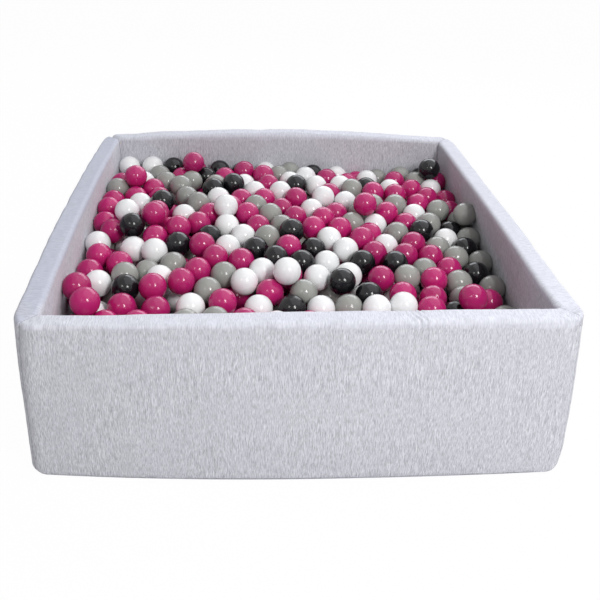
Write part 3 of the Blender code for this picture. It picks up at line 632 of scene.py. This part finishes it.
def settled(points):
    """Points as the balls' weight and the seams set them: the right wall leans in, and at the front right
    the rim is lifted and the foot is pulled forwards and tucked in."""
    x, y, z = points[..., 0], points[..., 1], points[..., 2]
    high = rise_share(z, PIT_HEIGHT / 2)
    lean = RIGHT_LEAN * np.clip(x / HALF, 0, 1) ** 2 * np.clip((y - LEAN_START) / LEAN_RUN, 0, 1)
    lift = FRONT_RIGHT_LIFT * np.clip((x + LIFT_START) / LIFT_RUN, 0, 1)
    lift = lift * np.clip((LIFT_START - y) / LIFT_RUN, 0, 1)
    corner = np.clip(x / HALF, 0, 1) * np.clip(-y / HALF, 0, 1)
    reach = FRONT_RIGHT_REACH * corner**2 * (1 - rise_share(z, 0))
    tuck = FRONT_RIGHT_TUCK * corner**4 * np.clip(1 - z / TUCK_HEIGHT, 0, 1) ** 2
    return np.stack([x - lean * high - tuck, y - reach, z + lift * high * high], axis=-1)


def turned(points, side):
    """Points of the front turned to another side."""
    c, s = cos(TURNS[side]), sin(TURNS[side])
    out = points.copy()
    out[..., 0] = c * points[..., 0] - s * points[..., 1]
    out[..., 1] = s * points[..., 0] + c * points[..., 1]
    return out


def grid_normals(points):
    """Outward unit normals of a panel's grid."""
    along = np.gradient(points, axis=0)
    up = np.gradient(points, axis=1)
    normals = np.cross(along, up)
    return normals / np.linalg.norm(normals, axis=-1, keepdims=True)


def grid_faces(rows, columns, closed=False):
    """Quads of a grid of rows by columns."""
    across = np.arange(columns if closed else columns - 1)
    after = (across + 1) % columns
    start = np.arange(rows - 1)[:, None] * columns
    corners = [start + across, start + columns + across, start + columns + after, start + after]
    return np.stack(corners, axis=-1).reshape(-1, 4)


def end_caps(rows, columns):
    """Quads across the closed sections at both ends of a grid."""
    caps = []
    for start in (0, (rows - 1) * columns):
        for k in range(columns // 2):
            far = columns - 1 - k
            if far - k > 1:
                caps.append((start + k, start + k + 1, start + far - 1, start + far))
    return caps


def panel_shares():
    """Stations along a panel, closest together near its two mitres."""
    half_length = CORE + CORNER_RADIUS * pi / 4
    first, last = PUCKER_STATIONS
    near = [0.0, 0.0008, 0.0018] + list(np.arange(0.003, 0.045, 0.0014))
    far = list(np.arange(0.048, first, STATION_PITCH)) + list(np.arange(first, last, PUCKER_STATION_PITCH))
    far += list(np.arange(last + PUCKER_STATION_PITCH, half_length, STATION_PITCH))
    half = 1 - np.array(near + far) / half_length
    half = half[half > 0.004]
    slit = (ZIP_LENGTH / 2 + ZIP_STOP_LENGTH + 2 * GAP) / half_length
    half[np.abs(half - slit).argmin()] = slit
    return np.concatenate([-half, [0.0], half[::-1]])


def relief(side, profile, shares, points, to_mitre):
    """How far each point of a panel stands out from its plain shape, as the tight jersey lies."""
    reach, height = profile[:, 0], profile[:, 1]
    steps = np.hypot(np.diff(reach), np.diff(height))
    path = np.concatenate([[0], np.cumsum(steps)])[None, :]
    world = turned(points, side)
    left = (shares < 0)[:, None]
    outside = (reach > HALF - RIM_RADIUS)[None, :]
    rim = bump(height, PIT_HEIGHT, 0.030)[None, :]
    fold = bump(height, PIT_HEIGHT - OUTER_FOLD / 2, 0.010)[None, :] * outside
    foot = (1 - rise_share(height, 0)[None, :]) ** 2 * outside
    seed = list(TURNS).index(side) * 10
    line = np.broadcast_to(path, to_mitre.shape)[..., None]
    at_mitre = waves(np.concatenate([line, 0.3 * to_mitre[..., None]], axis=-1), seed + 1, 0.022)
    at_base = waves(np.concatenate([world[..., :2], 0.3 * line], axis=-1), seed + 2, 0.020)
    upright = waves(np.concatenate([world[..., :2], 0.12 * world[..., 2:]], axis=-1), 5, 0.035)
    at_front_right = {"front": ~left, "right": left}.get(side, np.zeros_like(left))
    at_back_left = {"back": ~left, "left": left}.get(side, np.zeros_like(left))

    # The same on both panels of a mitre, so that their edges meet
    out = SWELL * waves(world, 3, 0.26) + RIPPLE * waves(world, 4, 0.07)
    out += RIPPLE * upright * outside
    out += FOLD_WAVE * waves(world[..., :2], 6, 0.075) * fold
    out += MITRE_ROLL * bump(to_mitre, 0.016, 0.012)
    out += FOOT_SPREAD * bump(to_mitre, 0, 0.150) * foot * at_front_right
    swing = to_mitre + 0.0015 * waves(line, 12, 0.03)
    crease = np.sin(2 * pi * swing / CREASE_SPACING) * np.exp(-((to_mitre / 0.030) ** 2)) * rim
    outer_half = np.clip((reach - INSIDE_HALF - WALL / 3) / (WALL / 3), 0, 1)[None, :]
    out += CREASE * crease * (1 + 0.5 * waves(world, 13, 0.02)) * outer_half * at_front_right
    out -= BACK_LEFT_DIP * bump(to_mitre, 0, 0.010) * rim * at_back_left

    # The panel's own, away from its mitres
    own = (GATHER + RIM_GATHER * rim) * at_mitre * np.exp(-to_mitre / 0.016)
    own += GATHER * at_base * np.exp(-path / 0.014)
    if side == "front":
        front_waves = FRONT_WAVE * waves(world[..., :2], 16, 0.075)
        own += (front_waves + FRONT_RIPPLE * waves(world, 8, 0.030)) * fold
        slanted = world[..., 0] + 0.4 * world[..., 1]
        pucker = bump(world[..., 0], PUCKER_PLACE, PUCKER_WIDTH) * rim
        own += PUCKER * pucker * np.sin(2 * pi * slanted / PUCKER_SPACING)
    out += own * (1 - bump(to_mitre, 0, 0.006))

    # Both fade out at the base's seam, and the thread draws the edges in
    at_right = 0.5 + 0.5 * np.tanh((world[..., 0] - 0.38) / 0.05)
    out *= 1 - bump(path, 0, 0.006)
    out -= (FOOT_PULL + FOOT_RIGHT_PULL * at_right) * bump(path, 0, 0.004)
    mitre_pull = (MITRE_PULL + RIM_MITRE_PULL * rim) * (1 - 0.75 * at_front_right)
    out -= mitre_pull * bump(to_mitre, 0, 0.0032)
    if side == "back":
        flat = bump(height, ZIP_HEIGHT, 0.030)[None, :] * outside
        out = out * (1 - flat) - 0.0002 * flat
        near_zip = outside & (np.abs(height - ZIP_HEIGHT) < 0.024)[None, :]
        out = np.where(near_zip, np.minimum(out, -0.0001), out)
    inner = (reach < INSIDE_HALF + RIM_RADIUS / 2)[None, :]
    return np.where(inner, np.minimum(out, INNER_RELIEF_LIMIT), out)


def cover_panel(side, look):
    """One side's sleeve of jersey, sewn to its neighbours at the mitres and to the base's panel."""
    foot = FLOOR_FOAM_TOP + GAP
    profile = wall_profile(0.0, seam_angle(GAP), foot, PROFILE_PITCH, OUTER_FOLD, INNER_FOLD)
    shares = panel_shares()
    points, to_mitre = side_grid(side, profile, shares)
    out = relief(side, profile, shares, points, to_mitre)
    points = points + grid_normals(points) * out[..., None]
    # The seam's own edges stay on the mitre, where the next panel's are
    for edge, sign in ((0, -1), (-1, 1)):
        middle = (sign * points[edge, :, 0] - points[edge, :, 1]) / 2
        points[edge, :, 0] = sign * (middle - GAP / 2)
        points[edge, :, 1] = -middle
    faces = grid_faces(len(shares), len(profile))
    if side == "back":
        half_slit = ZIP_LENGTH / 2 + ZIP_STOP_LENGTH + 3 * GAP
        middles = points.reshape(-1, 3)[faces].mean(axis=1)
        in_height = np.abs(middles[:, 2] - ZIP_HEIGHT) < ZIP_SLIT_HEIGHT / 2
        in_length = np.abs(middles[:, 0]) < half_slit
        faces = faces[~(in_height & in_length & (middles[:, 1] < -CORE))]
    points = settled(turned(points, side))
    obj = mesh_object(f"jersey_{side}", points, faces, look)
    shell = obj.modifiers.new("shell", "SOLIDIFY")
    shell.thickness = COVER_THICKNESS
    shell.offset = -1
    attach(obj, "root")
    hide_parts(f"cover_{side}")
    return points[-1]


def tube(name, path, radius, look, closed=False):
    """A thin round piece along a path."""
    sides = 8
    path = np.asarray(path, float)
    ahead = np.roll(path, -1, axis=0) - np.roll(path, 1, axis=0)
    if not closed:
        ahead[0], ahead[-1] = path[1] - path[0], path[-1] - path[-2]
    ahead /= np.linalg.norm(ahead, axis=1, keepdims=True)
    side = np.cross(ahead, [0.31, 0.17, 0.93])
    side /= np.linalg.norm(side, axis=1, keepdims=True)
    up = np.cross(ahead, side)
    turns = np.linspace(0, 2 * pi, sides, endpoint=False)
    ring = side[:, None] * np.cos(turns)[None, :, None] + up[:, None] * np.sin(turns)[None, :, None]
    points = path[:, None] + radius * ring
    if closed:
        points = np.concatenate([points, points[:1]])
    faces = grid_faces(len(points), sides, closed=True)
    obj = mesh_object(name, points, faces, look)
    if not closed:
        last = (len(points) - 1) * sides
        close_ends(obj, [(s, s + k, s + k + 1) for s in (0, last) for k in range(1, sides - 1)])
    finish_solid(obj)
    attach(obj, "root")
    return obj


def close_ends(obj, triangles):
    """Add the triangles that close a mesh, and turn its faces outwards."""
    bm = bmesh.new()
    bm.from_mesh(obj.data)
    bm.verts.ensure_lookup_table()
    for corners in triangles:
        bm.faces.new([bm.verts[i] for i in corners])
    bmesh.ops.recalc_face_normals(bm, faces=bm.faces)
    bm.to_mesh(obj.data)
    bm.free()


def seams(edges, look):
    """The seams' thread in the grooves, whose darker tone is painted shade: one at each mitre and one
    round the foot.
    """
    for side, edge in edges.items():
        piece = tube(f"seam_{side}", edge, 0.0006, look)
    reach = HALF - BOTTOM_RADIUS + BOTTOM_RADIUS * cos(seam_angle())
    ring = plan_ring(reach - 0.0012, FOOT_BOWS)
    ring = settled(np.column_stack([ring, np.full(len(ring), BASE_SEAM_HEIGHT)]))
    piece = tube("seam_foot", ring, 0.0011, look, True)


def foam_board(side, look):
    """One side's foam board, mitred at its ends and rounded along the rim."""
    outline = wall_profile(SKIN + FOAM_CLEARANCE, -pi / 2, SKIN, 0.030)
    near_end = np.array([0, 0.012, 0.03, 0.06])
    shares = np.concatenate([near_end - 1, np.linspace(-0.9, 0.9, 25), 1 - near_end[::-1]])
    points, _ = side_grid(side, outline, shares)
    points[..., 0] -= np.sign(points[..., 0]) * FOAM_CLEARANCE
    cells = 0.0004 * waves(points, 7, 0.05) * (np.abs(shares) < 0.98)[:, None]
    points = points - grid_normals(points) * np.abs(cells)[..., None]
    rows, columns = len(shares), len(outline)
    faces = np.vstack([grid_faces(rows, columns, closed=True), end_caps(rows, columns)])
    obj = mesh_object(f"foam_{side}", settled(turned(points, side)), faces, look)
    finish_solid(obj)
    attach(obj, "root")
    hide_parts(f"foam_wall_{side}")


def finish_solid(obj):
    """Clean a closed mesh and turn its faces outwards."""
    bm = bmesh.new()
    bm.from_mesh(obj.data)
    bmesh.ops.remove_doubles(bm, verts=bm.verts, dist=0.00001)
    bmesh.ops.dissolve_degenerate(bm, edges=bm.edges, dist=0.00001)
    bmesh.ops.recalc_face_normals(bm, faces=bm.faces)
    bm.to_mesh(obj.data)
    bm.free()


def plan_ring(reach, bows, count=60):
    """The closed plan line round the pit at a reach."""
    radius = max(reach - CORE, INNER_CORNER)
    straight = reach - radius
    ring = []
    for side in TURNS:
        line = []
        for share in np.linspace(-1, 1, count)[:-1]:
            line.append((straight * share, -(reach + bows[side] * (1 - share * share))))
        for angle in np.linspace(0, pi / 2, 9)[:-1]:
            line.append((straight + radius * sin(angle), -(straight + radius * cos(angle))))
        ring.append(turned(np.array(line), side))
    return np.vstack(ring)


def plate(name, rings, look):
    """A closed plate from plan rings of (reach, height), each filled towards the middle at both ends."""
    bows = FOOT_BOWS if rings[0][0] > INSIDE_HALF + SKIN else BOWS
    shrink = np.linspace(0.04, 1, 22)[:-1]
    first, last = rings[0], rings[-1]
    levels = [(*first, k) for k in shrink] + [(*ring, 1.0) for ring in rings]
    levels += [(*last, k) for k in shrink[::-1]]
    loops = []
    for reach, height, share in levels:
        ring = plan_ring(reach, bows) * share
        loops.append(np.column_stack([ring, np.full(len(ring), height)]))
    count = len(loops[0])
    total = len(loops) * count
    points = np.vstack(loops + [[(0, 0, first[1])], [(0, 0, last[1])]])
    fans = []
    for k in range(count):
        after = (k + 1) % count
        fans.append((total, k, after))
        fans.append((total - count + after, total - count + k, total + 1))
    obj = mesh_object(name, settled(points), grid_faces(len(loops), count, closed=True), look)
    close_ends(obj, fans)
    obj.data.shade_smooth()
    obj.data.set_sharp_from_angle(angle=pi / 4)
    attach(obj, "root")
    return obj


def flat_pieces(jersey, foam):
    """The base's panel with its edge turned up to the seam, the floor mat and the floor's panel."""
    centre = (HALF - BOTTOM_RADIUS, BOTTOM_RADIUS)
    rise = arc(centre, BOTTOM_RADIUS, -pi / 2, seam_angle(), 6)
    down = arc(centre, BOTTOM_RADIUS - COVER_THICKNESS, seam_angle(), -pi / 2, 6)
    base = plate("jersey_base", rise + down, jersey)
    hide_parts("cover_base")
    reach = HALF - SKIN - WALL_FOAM_THICKNESS - GAP
    mat = plate("foam_mat", [(reach, SKIN), (reach, FLOOR_FOAM_TOP)], foam)
    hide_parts("foam_floor")
    reach = INSIDE_HALF - GAP
    floor = plate("jersey_floor", [(reach, FLOOR_FOAM_TOP + GAP), (reach, FLOOR_TOP)], jersey)
    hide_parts("cover_floor")


def ball_template(segments, rings):
    """Points and quads of a moulded ball with its parting line and the mark of its gate."""
    mark, mark_depth, pole = 0.0022, 0.0004, 0.00001
    ridge, ridge_half, ridge_foot, ridge_start = 0.00014, 0.0004, 0.0009, 0.0016
    line = [(pole, BALL_RADIUS - mark_depth), (0.8 * mark, BALL_RADIUS - mark_depth)]
    line += [(r, sqrt(BALL_RADIUS**2 - r * r)) for r in (mark, 1.25 * mark)]
    upper = []
    for ring in range(1, rings):
        angle = pi / 2 * (1 - ring / rings)
        upper.append((BALL_RADIUS * cos(angle), BALL_RADIUS * sin(angle)))
    upper.append((sqrt(BALL_RADIUS**2 - ridge_start**2), ridge_start))
    upper.append((BALL_RADIUS, ridge_foot))
    line += upper + [(BALL_RADIUS + ridge, ridge_half), (BALL_RADIUS + ridge, -ridge_half)]
    line += [(r, -z) for r, z in upper[::-1]] + [(pole, -BALL_RADIUS)]
    turns = np.linspace(0, 2 * pi, segments, endpoint=False)
    points = [(r * cos(t), r * sin(t), z) for r, z in line for t in turns]
    faces = grid_faces(len(line), segments, closed=True)
    return np.array(points), faces


def turn_matrix(random):
    """A random turn with a slight ovality."""
    basis, _ = np.linalg.qr(random.normal(size=(3, 3)))
    if np.linalg.det(basis) < 0:
        basis[:, 0] *= -1
    return basis * (1 + (random.random(3) - 0.5) * BALL_OVALITY)


def balls_object(name, centres, template, look, random):
    """One piece of several balls, each turned its own way."""
    shape, faces = template
    points = [shape @ turn_matrix(random).T + centre for centre in centres]
    all_faces = [faces + k * len(shape) for k in range(len(centres))]
    obj = mesh_object(name, np.vstack(points), np.vstack(all_faces), look)
    finish_solid(obj)
    return obj


def listed(balls):
    """Balls that are noted by colour, as (colour, across, along)."""
    return [(colour, *place) for colour, places in balls.items() for place in places]


def drawn_colours(random, packed):
    """Each packed ball's colour number: drawn by the colours' shares, but as noted where one is noted."""
    names = list(COLOUR_SHARES)
    drawn = random.choice(len(names), size=len(packed), p=list(COLOUR_SHARES.values()))
    noted = [(*ball, HIGH_LIFT) for ball in listed(HIGH_BALLS)]
    noted += [(*ball, NOTED_LIFT) for ball in listed(NOTED_BALLS) + listed(BALLS_BY_THE_WALLS)]
    taken = set()
    for colour, u, v, lift in noted:
        x, y = u * INSIDE_HALF, v * INSIDE_HALF
        target = np.array([x, y, fill_level(x, y) + lift * BALL_RADIUS])
        for k in np.argsort(((packed - target) ** 2).sum(axis=1))[:3]:
            if k not in taken:
                drawn[k] = names.index(colour)
                taken.add(k)
                break
    return drawn


def ball_pieces(looks):
    """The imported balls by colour, and each loose ball on its own body."""
    random = np.random.default_rng(5)
    packed, base_count = heap()
    drawn = drawn_colours(random, packed)
    under = np.arange(len(packed)) < base_count
    fine, coarse = ball_template(30, 10), ball_template(18, 6)
    for index, colour in enumerate(COLOUR_SHARES):
        for label, template, layers in (("top", fine, ~under), ("under", coarse, under)):
            chosen = packed[layers & (drawn == index)]
            groups = np.array_split(chosen, len(chosen) // BALLS_IN_A_PIECE + 1)
            for number, group in enumerate(groups):
                if len(group) == 0:
                    continue
                name = f"balls_{colour}_{label}_{number + 1}"
                obj = balls_object(name, group, template, looks[colour], random)
                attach(obj, "root")
                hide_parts("ball_bed")
    for colour, balls in LOOSE_BALL_SHARES.items():
        for number in range(len(balls)):
            node = f"ball_{colour}_{number + 1:02d}"
            low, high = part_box(node)
            centre = [(a + b) / 2 for a, b in zip(low, high)]
            obj = balls_object(f"loose_{node}", [centre], fine, looks[colour], random)
            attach(obj, node)
            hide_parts(node)


def back_point(along, outward, height):
    """A place on the bowed back, a distance outwards from its plain face."""
    bow = BOWS["back"] * (1 - (along / CORE) ** 2)
    return (along, HALF + bow + outward, height)


def back_frame(along):
    """Unit vectors along the back's bow and outwards from it."""
    slope = -2 * BOWS["back"] * along / CORE**2
    length = sqrt(1 + slope * slope)
    return np.array([1 / length, slope / length, 0]), np.array([-slope / length, 1 / length, 0])


def repeat_along(name, shape, faces, places, look):
    """Copies of a small shape at (along, outward, height) places of the back, turned with its bow."""
    points, quads = [], []
    for number, (along, outward, height) in enumerate(places):
        run, out = back_frame(along)
        basis = np.array([run, out, (0, 0, 1)])
        points.append(shape @ basis + np.array(back_point(along, outward, height)))
        quads.append(faces + number * len(shape))
    return mesh_object(name, np.vstack(points), np.vstack(quads), look)


def bead(length, depth, height, segments=8, rings=5, power=0.6):
    """A rounded block centred at the origin, long along X, deep along Y and high along Z."""
    points = []
    for ring in range(rings + 1):
        lat = -pi / 2 + pi * ring / rings
        for k in range(segments):
            lon = 2 * pi * k / segments
            unit = (cos(lat) * cos(lon), cos(lat) * sin(lon), sin(lat))
            point = [abs(c) ** power * (1 if c > 0 else -1) for c in unit]
            points.append((point[2] * length / 2, point[0] * depth / 2, point[1] * height / 2))
    return np.array(points), grid_faces(rings + 1, segments, closed=True)


def zip_tape(name, sign, look):
    """One tape, whose free edge is a little thicker and whose ends are cut square."""
    inner = TEETH_FAR_EDGE + GAP
    half = ZIP_LENGTH / 2 + ZIP_TAPE_END
    along = np.linspace(-half, half, 241)
    across = np.array([0, 0.0008, 0.0016, 0.005, 0.0085, 0.0120, 0.0137, 0.0144, ZIP_TAPE_WIDTH])
    rise = np.array([1.0, 1.15, 0.95, 0.9, 0.9, 0.9, 1.1, 1.1, 0.6]) * ZIP_TAPE_THICKNESS
    section = [(a, r) for a, r in zip(across, rise)] + [(a, 0.0) for a in across[::-1]]
    points = []
    for x in along:
        run, out = back_frame(x)
        wave = 0.00012 * sin(x * 210 + 2 * sign) + 0.00010 * sin(x * 83)
        for a, r in section:
            lift = GAP + r + (wave + 0.00012 if r > 0 else 0)
            height = ZIP_HEIGHT + sign * (inner + a)
            points.append(np.array(back_point(x, 0, height)) + out * lift)
    count = len(section)
    faces = np.vstack([grid_faces(len(along), count, closed=True), end_caps(len(along), count)])
    obj = mesh_object(f"tape_{name}", points, faces, look)
    finish_solid(obj)
    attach(obj, "root")
    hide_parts(f"zip_tape_{name}")


def zip_coil(name, sign, look):
    """One row of coils, the lower one half a pitch further on."""
    pitch = 0.0016
    shape, faces = bead(0.00105, ZIP_TEETH_THICKNESS, ZIP_TEETH_WIDTH + 0.0001)
    starts = np.arange(-ZIP_LENGTH / 2 + pitch / 2, ZIP_LENGTH / 2, pitch)
    shift = pitch / 2 if sign < 0 else 0
    height = ZIP_HEIGHT + sign * (ZIP_TEETH_PARTING / 2 + ZIP_TEETH_WIDTH / 2 - 0.0001)
    outward = TEETH_INNER + ZIP_TEETH_THICKNESS / 2 - HALF
    places = [(x + shift, outward, height) for x in starts if x + shift < ZIP_LENGTH / 2 - pitch / 3]
    coil = repeat_along(f"coil_{name}", shape, faces, places, look)
    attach(coil, "root")
    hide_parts(f"zip_teeth_{name}")


def zip_stitches(look):
    """Two rows of stitches on each tape, and a bar of them across both tapes at each end."""
    stitch, faces = bead(0.0024, 0.0004, 0.00045, 6, 4, 0.8)
    half = ZIP_LENGTH / 2
    rows = [sign * (TEETH_FAR_EDGE + GAP + row) for sign in (1, -1) for row in (0.0030, 0.0128)]
    steps = np.arange(-half - ZIP_TAPE_END + 0.003, half + ZIP_TAPE_END - 0.002, 0.0031)
    lift = GAP + ZIP_TAPE_THICKNESS + 0.00015
    places = [(x, lift, ZIP_HEIGHT + row) for row in rows for x in steps]
    for end in (half + 0.009, -half - 0.009):
        places += [(end, lift, ZIP_HEIGHT + k * 0.0011) for k in range(-9, 10)]
    thread = repeat_along("zip_stitches", stitch, faces, places, look)
    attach(thread, "root")


def zip_pieces(looks):
    """Tapes, coils and stitches, and finer looks for the stops, the slider and its pull."""
    for name, sign in (("upper", 1), ("lower", -1)):
        zip_tape(name, sign, looks["tape"])
        zip_coil(name, sign, looks["nylon"])
    zip_stitches(looks["thread"])
    for name in ("zip_stop_closed_end", "zip_stop_open_end", "zip_slider", "zip_pull"):
        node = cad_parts[name]
        for slot in node.material_slots:
            slot.material = looks["metal"]
        edges = node.modifiers.new("soft_edges", "BEVEL")
        edges.width = 0.00022
        edges.segments = 3
        edges.limit_method = "ANGLE"
        edges.angle_limit = pi / 5


def area_light(name, place, size, watts, colour):
    """A soft lamp that faces the pit."""
    lamp = bpy.data.lights.new(name, "AREA")
    lamp.color = colour
    lamp.shape = "RECTANGLE"
    lamp.size, lamp.size_y = size
    lamp.energy = watts
    obj = bpy.data.objects.new(name, lamp)
    obj.location = place
    obj.rotation_euler = (Vector(LAMP_TARGET) - Vector(place)).to_track_quat("-Z", "Y").to_euler()
    bpy.context.scene.collection.objects.link(obj)


def camera():
    """The camera at the photo's viewing angle."""
    scene = bpy.context.scene
    lens = bpy.data.cameras.new("camera")
    lens.sensor_width = 36
    lens.lens = FOCAL_LENGTH * lens.sensor_width / IMAGE_SIDE
    lens.shift_x = (IMAGE_SIDE / 2 - IMAGE_CENTRE[0]) / IMAGE_SIDE
    lens.shift_y = (IMAGE_CENTRE[1] - IMAGE_SIDE / 2) / IMAGE_SIDE
    view = bpy.data.objects.new("camera", lens)
    scene.collection.objects.link(view)
    turn = Euler([radians(angle) for angle in CAMERA_TURNS])
    view.matrix_world = Matrix.LocRotScale(Vector(CAMERA_PLACE), turn, None)
    scene.camera = view


def white_world():
    """A world that is white to the camera and in reflections, and dimmer as a light."""
    world = bpy.data.worlds.new("world")
    bpy.context.scene.world = world
    world.use_nodes = True
    tree = Nodes(world.node_tree)
    rays = tree.node("LightPath", {})
    seen = tree.maths("MAXIMUM", rays["Is Camera Ray"], rays["Is Glossy Ray"])
    seen = tree.maths("MAXIMUM", seen, rays["Is Transmission Ray"])
    back = tree.tree.nodes["Background"]
    tree.fill(back.inputs["Color"], (1, 1, 1, 1))
    tree.fill(back.inputs["Strength"], tree.spread(seen, 0.0, 1.0, WORLD_STRENGTH, 1.0))


def studio():
    """Camera, world, lamps and floor."""
    bpy.context.scene.view_settings.view_transform = "Standard"
    camera()
    white_world()
    for lamp in LAMPS:
        area_light(*lamp)
    signs = ((-1, -1), (1, -1), (1, 1), (-1, 1))
    corners = [(x * STAGE_HALF, y * STAGE_HALF, STAGE_HEIGHT) for x, y in signs]
    floor = mesh_object("floor", corners, [(0, 1, 2, 3)], floor_look())


def floor_look():
    """White studio floor, bright to the camera, that keeps a faint shadow."""
    look = Look("studio_floor", base_color=(0.86, 0.86, 0.87, 1), roughness=0.9)
    glow = look.node("Emission", {"Color": (1, 1, 1, 1), "Strength": 1.0})[0]
    share = look.maths("MULTIPLY", look.node("LightPath", {})["Is Camera Ray"], 0.98)
    both = look.node("MixShader", {0: share, 1: look.shader.outputs[0], 2: glow})[0]
    look.fill(look.tree.nodes["Material Output"].inputs["Surface"], both)
    return look.material


def main():
    """Dress the frame."""
    jersey = {side: jersey_look(f"jersey_{side}", 0) for side in ("front", "back")}
    jersey["right"] = jersey_look("jersey_right", 1)
    # The left panel's rim is mixed towards a darker blue-grey tone over a wider band: painted shade.
    jersey["left"] = jersey_look("jersey_left", 1, (184, 188, 206), 0.6)
    foam = foam_look("foam")
    edges = {}
    for side in TURNS:
        edges[side] = cover_panel(side, jersey[side])
        foam_board(side, foam)
    seams(edges, seam_painted_shade_look("seam_thread_painted_shade"))
    flat_pieces(jersey_look("jersey_flat", 0), foam)
    ball_pieces(
        {
            colour: ball_look(f"ball_{colour}", rgb(*light), rgb(*deep), roughness)
            for colour, (light, deep, roughness) in BALL_TONES.items()
        }
    )
    zip_pieces(
        {
            "tape": tape_look("zip_tape", rgb(212, 212, 220), rgb(188, 188, 198)),
            "thread": tape_look("thread", rgb(222, 222, 228), rgb(200, 200, 208)),
            "nylon": nylon_look("zip_coil"),
            "metal": metal_look("zip_metal"),
        }
    )
    studio()


main()
